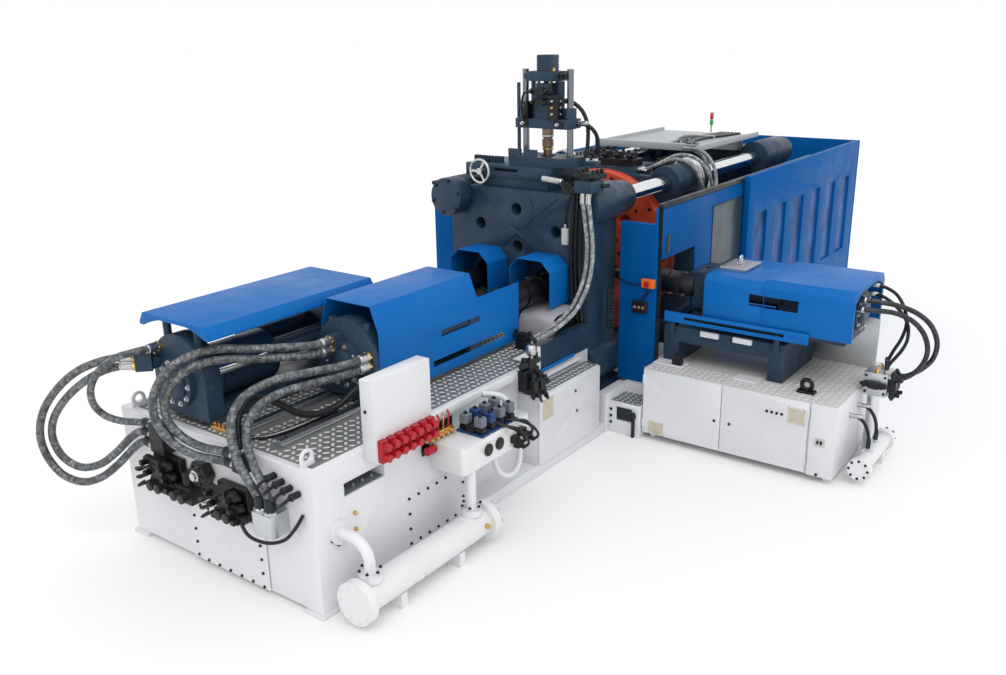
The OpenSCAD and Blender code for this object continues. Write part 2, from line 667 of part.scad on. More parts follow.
module purge_shields() {
  z0 = bed_h - tray_depth;
  z1 = axis_z - barrel_r - band_t - 35;
  x0 = tray_x + 100;
  t = sheet_t;
  color("silver") for (s = [-1, 1]) translate([0, s * (unit_dy + 160), 0]) {
    translate([0, 190, 0]) rotate([90, 0, 0]) linear_extrude(380) polygon([[x0, z0], [x0 + 25, z1 - 90],
      [x0 + 50, z1 - 45], [x0 + 95, z1 - 22], [bed_x1 - 20, z1], [bed_x1 - 20, z1 - t],
      [x0 + 97, z1 - 22 - t], [x0 + 54, z1 - 48], [x0 + 25 + t, z1 - 90], [x0 + t, z0]]);
    for (y = [-190, 190 - t]) translate([0, y + t, 0]) rotate([90, 0, 0]) linear_extrude(t)
      polygon([[x0, z0], [x0 + 25, z1 - 90], [x0 + 60, z1 - 60], [x0 + 60, z0]]);
  }
}

module clamp_base() {
  arm_w = guard_out - base_hw + 2;
  arm_y = guard_out - arm_w / 2;
  color("white") {
    for (s = [-1, 1]) {
      block(bed_x1, clamp_len, s * (base_hw - beam_w / 2), beam_w, 0, base_h);
      for (x = [side_x1 + 60, guard_x0 + 20, rear_x, clamp_len - 170])
        block(x, x + 100, s * arm_y, arm_w, base_h - 60, guard_z0);
    }
    for (x = [600, moving_x1 + 490, rear_x + 100, clamp_len - 200])
      slab(x, x + 200, -base_hw + 10, base_hw - 10, 0, cross_h);
    for (x = [side_x, side_x1 - 240]) slab(x, x + 120, side_y1, -base_hw + eps, cross_h - 60, cross_h);
  }
}

module step_platforms() {
  w = guard_dy + 5 - base_hw;
  y = base_hw + w / 2;
  low = guard_z0 - 100;
  color("white") for (s = [-1, 1]) difference() {
    union() {
      block(column_x - 350, column_x - 59, s * y, w, 0, low);
      block(column_x - 60, column_x + column_t + 20, s * y, w, 0, guard_z0);
    }
    block(column_x - 351, column_x - 330, s * y, 170, low - 190, low - 50);
  }
}

module guard_columns() {
  post_y = guard_dy - 65;
  color("royalblue") for (s = [-1, 1]) {
    block(column_x, column_x + column_t, s * column_y, column_w, guard_z0, guard_z1 - 220);
    block(column_x, column_x + column_t, s * post_y, 30, guard_z1 - 221, door_z1 + 5);
  }
}

// The tall slots of the clamp guards, or with a gap the panes in them.
module window_slots(gap, t) {
  pitch = (clamp_len - guard_x0 - 300) / 6;
  for (i = [0 : 5], s = [-1, 1]) translate([guard_x0 + 220 + i * pitch, 0, 0])
    block(gap, pitch * 0.55 - gap, s * (guard_dy + guard_t / 2), t, guard_z0 + 350 + gap, guard_z1 - 440 - gap);
}

module side_guards() {
  color("royalblue") difference() {
    for (s = [-1, 1])
      block(guard_x0, clamp_len - guard_t, s * (guard_dy + guard_t / 2), guard_t, guard_z0, guard_z1);
    window_slots(0, guard_t + 2);
  }
}

module guard_windows() {
  color("lightblue") window_slots(seat, 8);
}

module end_guard() {
  color("royalblue") slab(clamp_len - guard_t, clamp_len, -guard_out, guard_out, base_h, guard_z1);
}

module signal_lamp() {
  x = clamp_len - guard_t / 2;
  color("red") {
    zcyl(guard_z1, guard_z1 + 110, x, tie_dy, 12);
    zcyl(guard_z1 + 109, guard_z1 + 300, x, tie_dy, 26);
  }
}

module door_rails() {
  x1 = rear_x + 200;
  color("lightgray") for (s = [-1, 1]) {
    block(column_x, x1, s * (guard_dy - 30), 60, door_z1 + 5, door_z1 + 45);
    block(column_x + 120, x1, s * (guard_dy - 25), 50, guard_z0, guard_z0 + 15);
  }
}

module front_door() {
  color("royalblue") difference() {
    slab(door_x0, door_x1, door_y, door_y + door_t, door_z0, door_z1);
    slab(door_x0 - eps, side_x + 385, door_y - eps, door_y + door_t + eps, door_z0 - eps, axis_z + 290);
    slab(side_x + 785, door_x1 - 100, door_y - eps, door_y + door_t + eps, window_z0, door_z1 - 160);
  }
}

module front_door_window() {
  y = door_y + door_t / 2;
  color("lightblue")
    slab(side_x + 785 + seat, door_x1 - 100 - seat, y - 4, y + 4, window_z0 + seat, door_z1 - 160 - seat);
}

module far_door() {
  color("royalblue") mirror([0, 1, 0])
    slab(door_x0, guard_x0, door_y, door_y + door_t, guard_z0 + 15, door_z1);
}

module moving_platen() {
  shoe = base_hw - beam_w / 2;
  color("slategray") difference() {
    union() {
      slab(moving_x, moving_x1, -tie_dy + 60, tie_dy - 60, tie_lo - 60, tie_hi + 60);
      slab(moving_x, moving_x1, -tie_dy - 100, tie_dy + 100, tie_lo + 60, tie_hi - 60);
      at_ties() xcyl(moving_x, moving_x1 + 60, 0, 0, boss_r - 10);
      slab(moving_x, moving_x1, -shoe, shoe, base_h + slide_gap, tie_lo - 50);
      slab(moving_x + 80, moving_x1 - 60, -330, 330, tie_hi + 59, tie_hi + 130);
    }
    at_ties() xcyl(moving_x - eps, moving_x1 + 61, 0, 0, tie_r + seat);
    xcyl(moving_x - eps, moving_x + 150, 0, axis_z, 200 + seat);
  }
}

module rotary_table() {
  color("orangered") difference() {
    union() {
      xcyl(table_x, table_x + table_t, 0, axis_z, table_r);
      xcyl(table_x + table_t - eps, moving_x + 140, 0, axis_z, 200);
    }
    for (a = [45 : 90 : 315]) translate([0, 0, axis_z]) rotate([a, 0, 0])
      xcyl(table_x - eps, table_x + 60, 0, table_r * 0.58, 70);
    xcyl(table_x - eps, table_x + 40, 0, axis_z, 125);
  }
}

module clamp_ram() {
  color("silver") xcyl(moving_x1, ram_x1, 0, axis_z, ram_r);
}

module clamp_cylinder() {
  x0 = rear_x - cylinder_len;
  x1 = rear_x + rear_t + cylinder_tail;
  color("slategray") difference() {
    union() {
      xcyl(x0, x1, 0, axis_z, ram_r + ram_wall);
      xcyl(x0, x0 + 120, 0, axis_z, ram_r + ram_wall + 40);
    }
    xcyl(x0 - eps, x1 - 150, 0, axis_z, ram_r + seat);
  }
}

module rear_platen() {
  x1 = rear_x + rear_t;
  color("slategray") difference() {
    union() {
      slab(rear_x, x1, -tie_dy - 60, tie_dy + 60, tie_lo - 60, tie_hi + 60);
      at_ties() xcyl(rear_x - 80, x1, 0, 0, boss_r);
      slab(rear_x, x1, -base_hw + 10, base_hw - 10, base_h, tie_lo - 50);
    }
    at_ties() xcyl(rear_x - 81, x1 + eps, 0, 0, tie_r + seat);
    xcyl(rear_x - eps, x1 + eps, 0, axis_z, ram_r + ram_wall + seat);
  }
}

// Tray over the clamp that carries the hoses of the moving platen.
module hose_tray() {
  z = tie_hi + 60;
  x0 = moving_x1 + 280;
  hw = 680;
  color("lightgray") {
    slab(x0, rear_x + 200, -hw, hw, z + 170, z + 190);
    slab(x0, x0 + 60, -hw, hw, z + 189, z + 250);
    for (s = [-1, 1]) {
      block(rear_x + 20, rear_x + 120, s * 480, 60, z, z + 171);
      block(x0, rear_x + 200, s * (hw - 10), 20, z + 189, z + 230);
      translate([0, s * 480 + 15, 0]) rotate([90, 0, 0]) linear_extrude(30) polygon([[rear_x + 21, z],
        [rear_x + 21, z + 171], [rear_x - 1000, z + 171], [rear_x - 960, z + 140]]);
    }
  }
}

module side_frame() {
  translate([side_x, 0, 0]) rotate([0, 0, 90]) children();
}

function side_base_hw() = carriage_hw + 105;

// Knuckles of a cabinet door on its hinge line.
module knuckles(x, y, z0, z1) {
  for (z = [z0 + 60, z1 - 140]) zcyl(z, z + 80, x, y, knuckle_r);
}

module side_cabinet() {
  x0 = side_x0 + skin;
  bay = 600;
  color("white") {
    difference() {
      slab(x0, side_x1, side_y0, side_y1, 60, side_h);
      slab(x0 - eps, x0 + bay, door_split + 20, side_y1 - 30, 90, side_h - 30);
      slab(x0 - eps, x0 + bay, door_end + 20, door_split - 20, 90, side_h - 30);
    }
    slab(side_x0, x0 + eps, side_y0, door_end - 14, 60, side_h);
    for (x = [x0 + 80, side_x1 - 80], y = [side_y0 + 80, side_y1 - 80]) zcyl(0, 61, x, y, 30);
  }
}

module side_door_left() {
  y1 = side_y1 - 8;
  color("white") {
    slab(side_x0, side_x0 + skin - 0.5, door_split + 4, y1, 70, side_h - 8);
    knuckles(side_x0, y1, 70, side_h - 8);
  }
}

module side_door_right() {
  y0 = door_end + 4;
  color("white") {
    slab(side_x0, side_x0 + skin - 0.5, y0, door_split - 4, 70, side_h - 8);
    knuckles(side_x0, y0, 70, side_h - 8);
  }
}

module side_base() {
  hw = side_base_hw();
  x0 = -side_y - side_len + 480;
  x1 = -side_y + 330;
  color("dimgray") side_frame() {
    difference() {
      slab(x0, x1, -hw, hw, side_deck_z, deck_z);
      slab(x0 + 150, x1 - 150, -hw - eps, hw + eps, side_deck_z - eps, deck_z - 150);
    }
    for (x = [x0 + 40, x1 - 130]) {
      slab(x, x + 50, hw - eps, hw + 60, deck_z - 60, deck_z);
      slab(x, x + 50, hw + 40, hw + 60, deck_z - eps, deck_z + 100);
    }
    for (d = [-1, 1]) rail(x0, x1 - 10, d * rail_dy);
  }
}

module side_carriage() {
  color("dimgray") side_frame() translate([-side_y, 0, 0]) carriage(side_len, false, plate_top);
}

module side_barrel() {
  x = -side_y + feed_len - barrel_seat;
  side_frame() translate([x, 0, 0]) barrel(-side_nozzle - x, barrel_r);
}

module side_cover() {
  hw = side_cover_w / 2;
  z0 = axis_z - 180;
  z1 = plate_top + sheet_t;
  step = -630;
  color("royalblue") side_frame() translate([-side_y, 0, 0]) difference() {
    union() {
      hood(-side_len - 90, step, hw, hw - 50, z0, z1 - 40, z1 + 30);
      hood_lip(-side_len - 90, hw, hw - 50, z0, z1 - 40, z1 + 30, 40);
      hood(step - eps, -70, hw - 12, hw - 60, z0, z1 - 50, z1);
      hood_lip(step - eps, hw - 12, hw - 60, z0, z1 - 50, z1 + 28, 25);
      for (x = [-plate_t / 2 - 30, -side_len + 20])
        slab(x, x + 30, -hw + 14, hw - 14, axis_z - 160, axis_z - 130);
    }
    slab(-side_len - eps, eps, -carriage_hw, carriage_hw, axis_z - 200, axis_z - 100);
    slab(-950, -500, hw - 30, hw + eps, axis_z + 15, axis_z + 120);
  }
}

module side_manifold() {
  plate_x = side_x + side_cover_w / 2 + 17;
  color("gray") {
    slab(side_x - 110, side_x + 110, side_y0 - 230, side_y0 - 30, side_h - 42, side_h + 168);
    slab(side_x - 60, side_x + 60, side_y0 - 31, side_y0, side_h - 30, side_h);
    slab(side_x - 40, side_x + 40, side_y0 - 100, side_y0 - 60, 0, side_h - 41);
    slab(plate_x, plate_x + 8, side_y0 + 20, side_y0 + 740, side_deck_z, axis_z - 180);
  }
}

module vertical_base() {
  x = -vert_x;
  y = -vert_y;
  span = column_dy + 90;
  color("slategray") difference() {
    union() {
      slab(x - 280, x + 180, y - 180, y + 600, platen_z, platen_z + 100);
      slab(x - 300, x + 260, y - 180, y + 790, platen_z + 99, base_top_z);
      slab(x - 180, x + 180, y - span, y + span, base_top_z - eps, saddle_z);
      for (s = [0, 1]) slab(x - 180, x - 150, y + 20 + s * 185, y + 165 + s * 185, saddle_z - eps, saddle_z + 70);
      slab(x + 80, x + 180, y - span - 150, y - span + eps, base_top_z, base_top_z + 40);
      slab(x - 25, x + 5, y + column_dy + 66, y + span, saddle_z - eps, column_z - 130);
    }
    zcyl(platen_z - eps, saddle_z + eps, x, y, 80);
    for (s = [-1, 1]) zcyl(saddle_z - 60, saddle_z + eps, x, y + s * column_dy, column_d / 2 + seat);
    slab(x - 301, x - 220, y + 160, y + 440, base_top_z - 60, base_top_z - 30);
    xcyl(x - 301, x - 220, wheel_y, platen_z + 160, 15.05);
  }
}

module vertical_columns() {
  color("silver") for (s = [-1, 1])
    zcyl(saddle_z - 60, column_z, -vert_x, s * column_dy - vert_y, column_d / 2);
}

module vertical_crosshead() {
  x = -vert_x;
  y = -vert_y;
  z = crosshead_z;
  reach = column_dy - 116;
  color("slategray") difference() {
    union() {
      slab(x - 120, x + 120, y - column_dy - 45, y + column_dy + 45, z, z + 90);
      for (s = [-1, 1]) {
        zcyl(z, z + 190, x, y + s * column_dy, column_d / 2 + 28);
        zcyl(z + 80, z + 450, x, y + s * reach, 45);
      }
      slab(x - 95, x + 95, y - 100, y + 100, z + 80, z + 330);
      slab(x - 115, x + 60, y - 90, y + 60, z + 200, z + 420);
      slab(x - 110, x + 110, y - reach - 40, y + reach + 40, z + 440, z + 530);
      zcyl(z + 320, z + 450, x, y, 40);
      slab(x - 75, x + 75, y - 75, y + 75, z + 520, z + 680);
    }
    for (s = [-1, 1]) zcyl(z - eps, z + 191, x, y + s * column_dy, column_d / 2 + seat);
    zcyl(z - eps, z + 60, x, y, 45 + seat);
  }
}

module vertical_barrel() {
  color("gray") {
    zcyl(platen_z + 180, crosshead_z + 60, -vert_x, -vert_y, 45);
    for (z = [crosshead_z - 180, crosshead_z - 80]) zcyl(z, z + 70, -vert_x, -vert_y, 56);
    translate([-vert_x, -vert_y, platen_z + 100]) cylinder(h = 81, r1 = 10, r2 = 30);
  }
}

module handwheel() {
  color("dimgray") translate([-vert_x - 300, wheel_y, platen_z + 160]) rotate([0, -90, 0]) {
    translate([0, 0, -60]) cylinder(h = 170, r = 15);
    translate([0, 0, 90]) cylinder(h = 30, r = 32);
    translate([0, 0, 105]) rotate_extrude() translate([wheel_r, 0]) circle(13);
    for (a = [90 : 120 : 330]) rotate([0, 0, a]) translate([20, -11, 99]) cube([wheel_r - 20, 22, 10]);
  }
}

// A shell cooler along X on saddles, with its flanged stubs at the given places.
module cooler(x0, len, y, z, r, stubs) {
  flange = r * 0.37;
  xcyl(x0 + 60, x0 + len - 60, y, z, r);
  for (x = [x0, x0 + len - 70]) xcyl(x, x + 70, y, z, r + flange);
  xcyl(x0 + len - eps, x0 + len + 40, y, z, r * 0.6);
  for (x = [x0 + len * 0.25, x0 + len * 0.7]) slab(x, x + 60, y - r * 0.8, y + r * 0.8, 0, z - r * 0.75);
  for (x = stubs) {
    zcyl(z, z + r + 15, x, y, r * 0.43);
    zcyl(z + r - 10, z + r + 15, x, y, r * 0.7);
  }
}

module oil_coolers() {
  color("white") {
    cooler(cooler_x, cooler_len, cooler_y, cooler_z, cooler_r,
      [cooler_x + stub_dx, cooler_x + cooler_len - stub_dx]);
    cooler(side_x - 560, 820, side_y0 - 180, 155, 70, [side_x - 310, side_x - 80]);
  }
}

module cooler_pipes() {
  x = cooler_x + stub_dx;
  xr = cooler_x + cooler_len - stub_dx;
  r = 40;
  bend = 150;
  z = stub_z + 100 + bend;
  color("white") {
    translate([x, cooler_y + bend, z - bend]) rotate([90, 0, -90])
      rotate_extrude(angle = 90) translate([bend, 0]) circle(r);
    zcyl(stub_z, z - bend + eps, x, cooler_y, r);
    ycyl(cooler_y + bend - eps, -bed_hw, x, z, r);
    ycyl(-bed_hw - 30, -bed_hw, x, z, 85);
    zcyl(stub_z, filter_z, xr, cooler_y, r);
    for (px = [x, xr]) zcyl(stub_z, stub_z + 25, px, cooler_y, 80);
  }
}

module filter_box() {
  y1 = -bed_hw;
  x1 = filter_x0 + 855;
  z1 = filter_z + filter_h;
  r = 40;
  color("white") difference() {
    union() {
      slab(filter_x0, x1, filter_y0 + r, y1, filter_z, z1);
      slab(filter_x0 + r, x1 - r, filter_y0, y1, filter_z, z1);
      for (x = [filter_x0 + r, x1 - r]) zcyl(filter_z, z1, x, filter_y0 + r, r);
    }
    for (x = [filter_x0 + 300, filter_x0 + 440]) ycyl(filter_y0 - eps, filter_y0 + 50, x, filter_z + 110, 45);
  }
}

// A spool valve on a flat seat with a solenoid at each end.
module valve(x, y, z) {
  translate([x, y, z]) {
    slab(-45, 45, -35, 35, 0, 70);
    ycyl(-110, 110, 0, 38, 28);
  }
}

module hydraulic_valves() {
  x = bed_x0;
  color("dimgray") {
    for (i = [0 : 3]) valve(filter_x0 + 300 + i * 120, filter_y0 + 140, filter_z + filter_h);
    for (y = [470, 190, -310]) {
      block(x - 130, x, y, 190, bed_h - 520, bed_h - 390);
      for (d = [-45, 45]) xcyl(x - 190, x - 129, y + d, bed_h - 455, 38);
      zcyl(bed_h - 391, bed_h - 290, x - 70, y, 42);
    }
    slab(x - 105, x, 400, 560, axis_z - 530, axis_z - 305);
    slab(x - 105, x, -490, -380, axis_z - 440, axis_z - 295);
    slab(x - 165, x, -800, -620, axis_z - 810, axis_z - 640);
    slab(tray_x - 460, tray_x - 380, -bed_nw + 30, -bed_nw + 150, deck_z, deck_z + 80);
  }
}

module terminal_panel() {
  z = bed_h - 83;
  color("white") slab(panel_x, panel_x + panel_len, -bed_hw - 120, -bed_hw, z, z + panel_h);
}

module water_regulators() {
  pitch = (panel_len - 20) / regulators;
  y = -bed_hw - 120;
  color("red") for (i = [0 : regulators - 1]) translate([panel_x + 10 + (i + 0.5) * pitch, 0, bed_h - 20]) {
    slab(-pitch * 0.36, pitch * 0.36, y - 45, y, -60, 100);
    for (z = [-20, 60]) ycyl(y - 85, y - 44, 0, z, pitch * 0.34);
  }
}

module control_cabinet() {
  w = cabinet_wall;
  color("white") difference() {
    slab(cab_x0, cab_x1, -bed_hw, -bed_nw, cab_z0, cab_z1);
    slab(cab_x0 + w, cab_x1 - w, -bed_hw - eps, -bed_nw - w, cab_z0 + w, cab_z1 - w);
  }
}

module control_cabinet_door() {
  y = -bed_hw - skin;
  color("white") {
    slab(cab_x0 + 7, cab_x1 - 7, y, -bed_hw - 0.5, cab_z0 + 8, cab_z1 - 8);
    knuckles(cab_x0 + 7, y, cab_z0 + 8, cab_z1 - 8);
  }
}

module left_unit_hoses() {
  color("black") translate([bed_x0, 0, axis_z]) for (i = [0 : 2])
    hose(left_routes[i], i == 2 ? hose_r - 3 : hose_r);
}

module right_unit_hoses() {
  color("black") translate([bed_x0, 0, axis_z]) {
    for (route = right_routes) hose(route, hose_r);
    hose(droop_route, hose_r - 6);
  }
}

module side_unit_hoses() {
  color("black") translate([side_x, side_y0, axis_z]) {
    for (route = side_routes) hose(route, hose_r - 8);
    for (route = thin_side_routes) hose(route, hose_r / 2);
  }
}

module vertical_unit_hoses() {
  color("black") translate([-vert_x, -vert_y, platen_z])
    for (route = vertical_routes) hose(route, hose_r - 10);
}

module clamp_hoses() {
  color("black") translate([0, 0, axis_z]) for (route = clamp_routes) hose(route, hose_r - 10);
}

module fixed_hoses() {
  color("black") {
    translate([0, 0, axis_z]) for (route = platen_routes) hose(route, hose_r - 10);
    translate([side_x, side_y0, 0]) for (route = drain_routes) hose(route, hose_r / 2);
  }
}

injection_bed();
deck_plates();
unit_rails();
hydraulic_valves();
oil_coolers();
cooler_pipes();
filter_box();
terminal_panel();
water_regulators();
control_cabinet();
control_cabinet_door();
clamp_base();
step_platforms();
fixed_platen();
tie_bars();
tie_bar_caps();
unit_guards();
purge_shields();
guard_columns();
side_guards();
end_guard();
guard_windows();
far_door();
door_rails();
rear_platen();
clamp_cylinder();
hose_tray();
signal_lamp();
vertical_base();
vertical_columns();
side_cabinet();
side_base();
side_manifold();
left_carriage();
left_barrel();
left_cover();
right_carriage();
right_barrel();
right_cover();
side_carriage();
side_barrel();
side_cover();
vertical_crosshead();
vertical_barrel();
moving_platen();
rotary_table();
clamp_ram();
front_door();
front_door_window();
side_door_left();
side_door_right();
handwheel();
left_unit_hoses();
right_unit_hoses();
side_unit_hoses();
vertical_unit_hoses();
clamp_hoses();
fixed_hoses();
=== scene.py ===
import json
import math

import bmesh
import bpy
from mathutils import Matrix, Vector

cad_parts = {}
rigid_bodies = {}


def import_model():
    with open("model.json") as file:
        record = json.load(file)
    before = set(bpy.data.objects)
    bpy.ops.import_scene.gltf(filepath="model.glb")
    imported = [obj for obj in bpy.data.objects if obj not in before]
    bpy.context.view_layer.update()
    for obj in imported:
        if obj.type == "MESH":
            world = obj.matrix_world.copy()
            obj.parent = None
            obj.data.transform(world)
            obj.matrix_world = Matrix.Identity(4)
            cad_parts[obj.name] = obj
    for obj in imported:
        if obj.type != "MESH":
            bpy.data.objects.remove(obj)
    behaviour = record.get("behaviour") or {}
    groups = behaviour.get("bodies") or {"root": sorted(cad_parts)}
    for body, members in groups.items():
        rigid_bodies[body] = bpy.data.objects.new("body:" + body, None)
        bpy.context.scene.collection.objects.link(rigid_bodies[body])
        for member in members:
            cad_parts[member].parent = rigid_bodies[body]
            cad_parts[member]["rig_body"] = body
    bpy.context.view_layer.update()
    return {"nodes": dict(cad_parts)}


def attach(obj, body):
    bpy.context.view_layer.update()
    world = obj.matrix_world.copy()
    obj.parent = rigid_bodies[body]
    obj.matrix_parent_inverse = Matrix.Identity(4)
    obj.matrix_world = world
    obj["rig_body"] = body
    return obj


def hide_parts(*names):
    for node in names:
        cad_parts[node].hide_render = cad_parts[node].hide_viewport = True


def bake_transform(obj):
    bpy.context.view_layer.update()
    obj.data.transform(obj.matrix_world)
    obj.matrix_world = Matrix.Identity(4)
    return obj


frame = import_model()
cad_nodes = frame["nodes"]
scene = bpy.context.scene

# Main sizes and places of the machine, in metres, as in the solids.
AXIS_Z = 1.4
UNIT_Y = 0.364
RAIL_Y, RAIL_TOP = 0.201, 1.139
BED_X0, BED_HW = -4.33, 1.055
NECK_X, NECK_Z, NECK_HW = -1.38, 0.838, 0.85
DECK_X1, DECK_Z = -1.13, 1.089
DECK_WAIST_X, EYE_Y = -1.86, 0.93
COOLER_X0, COOLER_X1, COOLER_Y, COOLER_Z = -4.302, -2.828, -1.33, 0.2
SIDE_COOLER_X0, SIDE_COOLER_X1, SIDE_COOLER_Y, SIDE_COOLER_Z = -0.347, 0.517, -3.42, 0.155
TIE_Y, TIE_HI, TIE_LO = 0.74, 2.19, 0.61
PLATEN_X, PLATEN_Z = -0.52, 2.3
UPRIGHT_X, UPRIGHT_Y = -0.2, -0.15
LEFT_X, RIGHT_X = -2.65, -2.0
SIDE_X, SIDE_FACE, SIDE_END = 0.215, -0.477, -3.24
SIDE_DECK_Z = 0.728
DOOR_Y = 1.389
TABLE_X = 0.9995
LAMP_X = 5.635
FLANGE_R = 0.155
HOSE_R, HOSE_SIDES = 0.03, 14
WIRE_R = 0.011

# The ways that fittings face: to the bed's end, the clamp's end, the camera's side, the far side and up.
TO_BED, TO_CLAMP, NEAR, FAR, TOP = (-1, 0, 0), (1, 0, 0), (0, -1, 0), (0, 1, 0), (0, 0, 1)

# Hose routes from the upper or moving end to the fixed end, from the corner that carries them.
LEFT_HOSES = [
    [
        (-0.048, 0.683, 0.17), (-0.11, 0.745, 0.17), (-0.21, 0.89, 0.135), (-0.3, 1.07, 0.045),
        (-0.38, 1.245, -0.11), (-0.435, 1.385, -0.3), (-0.455, 1.45, -0.5), (-0.44, 1.425, -0.68),
        (-0.4, 1.31, -0.815), (-0.335, 1.15, -0.855), (-0.25, 1.02, -0.808),
        (-0.16, 0.918, -0.705), (-0.1, 0.82, -0.592), (-0.07, 0.728, -0.518),
        (-0.06, 0.63, -0.494), (-0.06, 0.5605, -0.494),
    ],
    [
        (-0.048, 0.683, 0.105), (-0.11, 0.745, 0.105), (-0.205, 0.885, 0.058),
        (-0.285, 1.06, -0.055), (-0.345, 1.24, -0.215), (-0.38, 1.37, -0.39),
        (-0.385, 1.405, -0.55), (-0.36, 1.345, -0.69), (-0.31, 1.205, -0.755),
        (-0.24, 1.045, -0.715), (-0.165, 0.915, -0.605), (-0.105, 0.822, -0.497),
        (-0.071, 0.733, -0.432), (-0.06, 0.63, -0.41), (-0.06, 0.5605, -0.41),
    ],
    [
        (0.0795, 0.56, 0.24), (0, 0.56, 0.24), (-0.105, 0.59, 0.236), (-0.205, 0.68, 0.2),
        (-0.275, 0.8, 0.1), (-0.305, 0.89, -0.04), (-0.285, 0.925, -0.18), (-0.225, 0.895, -0.285),
        (-0.15, 0.815, -0.335), (-0.085, 0.715, -0.343), (-0.06, 0.63, -0.341),
        (-0.06, 0.5605, -0.341),
    ],
]
RIGHT_HOSES = [
    [
        (0.9395, -0.315, 0.2), (0.85, -0.315, 0.2), (0.72, -0.255, 0.203), (0.57, -0.15, 0.215),
        (0.4, -0.05, 0.235), (0.23, 0.005, 0.275), (0.05, 0.045, 0.29), (-0.095, 0.1, 0.25),
        (-0.21, 0.16, 0.14), (-0.27, 0.19, -0.01), (-0.27, 0.165, -0.16), (-0.235, 0.07, -0.29),
        (-0.175, -0.06, -0.368), (-0.105, -0.18, -0.398), (-0.066, -0.29, -0.405),
        (-0.06, -0.345, -0.405), (-0.06, -0.3795, -0.405),
    ],
    [
        (0.9395, -0.315, 0.13), (0.85, -0.315, 0.13), (0.72, -0.26, 0.13), (0.57, -0.17, 0.143),
        (0.4, -0.075, 0.162), (0.23, -0.015, 0.2), (0.06, 0.03, 0.212), (-0.07, 0.075, 0.175),
        (-0.165, 0.125, 0.08), (-0.21, 0.15, -0.04), (-0.205, 0.125, -0.165),
        (-0.17, 0.04, -0.265), (-0.125, -0.09, -0.32), (-0.08, -0.21, -0.335),
        (-0.06, -0.31, -0.335), (-0.06, -0.3795, -0.335),
    ],
    [
        (1.0295, -0.61, 0.1), (0.93, -0.61, 0.1), (0.76, -0.575, 0.098), (0.56, -0.495, 0.1),
        (0.33, -0.41, 0.1), (0.11, -0.38, 0.07), (-0.04, -0.395, 0), (-0.125, -0.44, -0.11),
        (-0.152, -0.49, -0.24), (-0.148, -0.548, -0.365), (-0.134, -0.612, -0.469),
        (-0.123, -0.648, -0.54), (-0.12, -0.66, -0.6), (-0.12, -0.66, -0.6395),
    ],
    [
        (1.0295, -0.61, 0.03), (0.93, -0.61, 0.03), (0.76, -0.59, 0.027), (0.56, -0.53, 0.025),
        (0.33, -0.465, 0.02), (0.13, -0.455, -0.01), (0, -0.475, -0.085), (-0.06, -0.512, -0.2),
        (-0.087, -0.59, -0.335), (-0.104, -0.69, -0.445), (-0.116, -0.743, -0.53),
        (-0.12, -0.76, -0.605), (-0.12, -0.76, -0.6395),
    ],
]
DROOP_HOSE = [
    (1.0295, -0.6, -0.09), (0.96, -0.6, -0.09), (0.87, -0.59, -0.125), (0.77, -0.565, -0.19),
    (0.67, -0.53, -0.222), (0.56, -0.49, -0.225), (0.45, -0.44, -0.185), (0.36, -0.395, -0.11),
    (0.265, -0.36, -0.04), (0.16, -0.35, 0.005), (0.06, -0.36, -0.012), (-0.022, -0.392, -0.09),
    (-0.055, -0.428, -0.185), (-0.06, -0.435, -0.24), (-0.06, -0.435, -0.2945),
]
SIDE_HOSES = [
    [
        (-0.155, 0.1095, 0.14), (-0.155, 0.03, 0.14), (-0.11, -0.1, 0.128), (-0.025, -0.24, 0.095),
        (0.045, -0.38, 0.03), (0.08, -0.49, -0.07), (0.085, -0.55, -0.21), (0.075, -0.535, -0.35),
        (0.058, -0.465, -0.45), (0.043, -0.378, -0.519), (0.036, -0.318, -0.545),
        (0.035, -0.27, -0.55), (0.035, -0.2305, -0.55),
    ],
    [
        (-0.215, 0.1095, 0.07), (-0.215, 0.03, 0.07), (-0.17, -0.09, 0.066),
        (-0.085, -0.22, 0.045), (-0.015, -0.35, -0.02), (0.012, -0.445, -0.12),
        (0.016, -0.49, -0.23), (0.008, -0.492, -0.33), (-0.01, -0.457, -0.425),
        (-0.03, -0.397, -0.497), (-0.041, -0.335, -0.537), (-0.045, -0.268, -0.55),
        (-0.045, -0.2305, -0.55),
    ],
]
THIN_SIDE_HOSES = [
    [
        (0.205, 0.1095, 0.19), (0.205, 0.04, 0.19), (0.215, -0.06, 0.175), (0.2, -0.16, 0.125),
        (0.155, -0.24, 0.03), (0.115, -0.28, -0.09), (0.075, -0.262, -0.22),
        (0.045, -0.212, -0.34), (0.035, -0.18, -0.44), (0.035, -0.18, -0.5095),
    ],
    [
        (0.16, 0.1095, 0.12), (0.16, 0.04, 0.12), (0.145, -0.07, 0.105), (0.105, -0.2, 0.035),
        (0.06, -0.3, -0.075), (0.015, -0.325, -0.19), (-0.014, -0.303, -0.28),
        (-0.034, -0.258, -0.362), (-0.043, -0.216, -0.43), (-0.045, -0.2, -0.478),
        (-0.045, -0.2, -0.5095),
    ],
]
VERTICAL_HOSES = [
    [
        (0.07, -0.1005, 0.82), (0.07, -0.165, 0.82), (0.082, -0.25, 0.8), (0.098, -0.33, 0.73),
        (0.11, -0.375, 0.63), (0.113, -0.388, 0.52), (0.111, -0.384, 0.4), (0.11, -0.38, 0.32),
        (0.11, -0.38, 0.2605),
    ],
    [
        (0.062, -0.3015, 0.615), (0.062, -0.345, 0.615), (0.072, -0.42, 0.595),
        (0.092, -0.475, 0.54), (0.112, -0.497, 0.465), (0.13, -0.482, 0.385), (0.14, -0.455, 0.31),
        (0.14, -0.455, 0.2605),
    ],
]
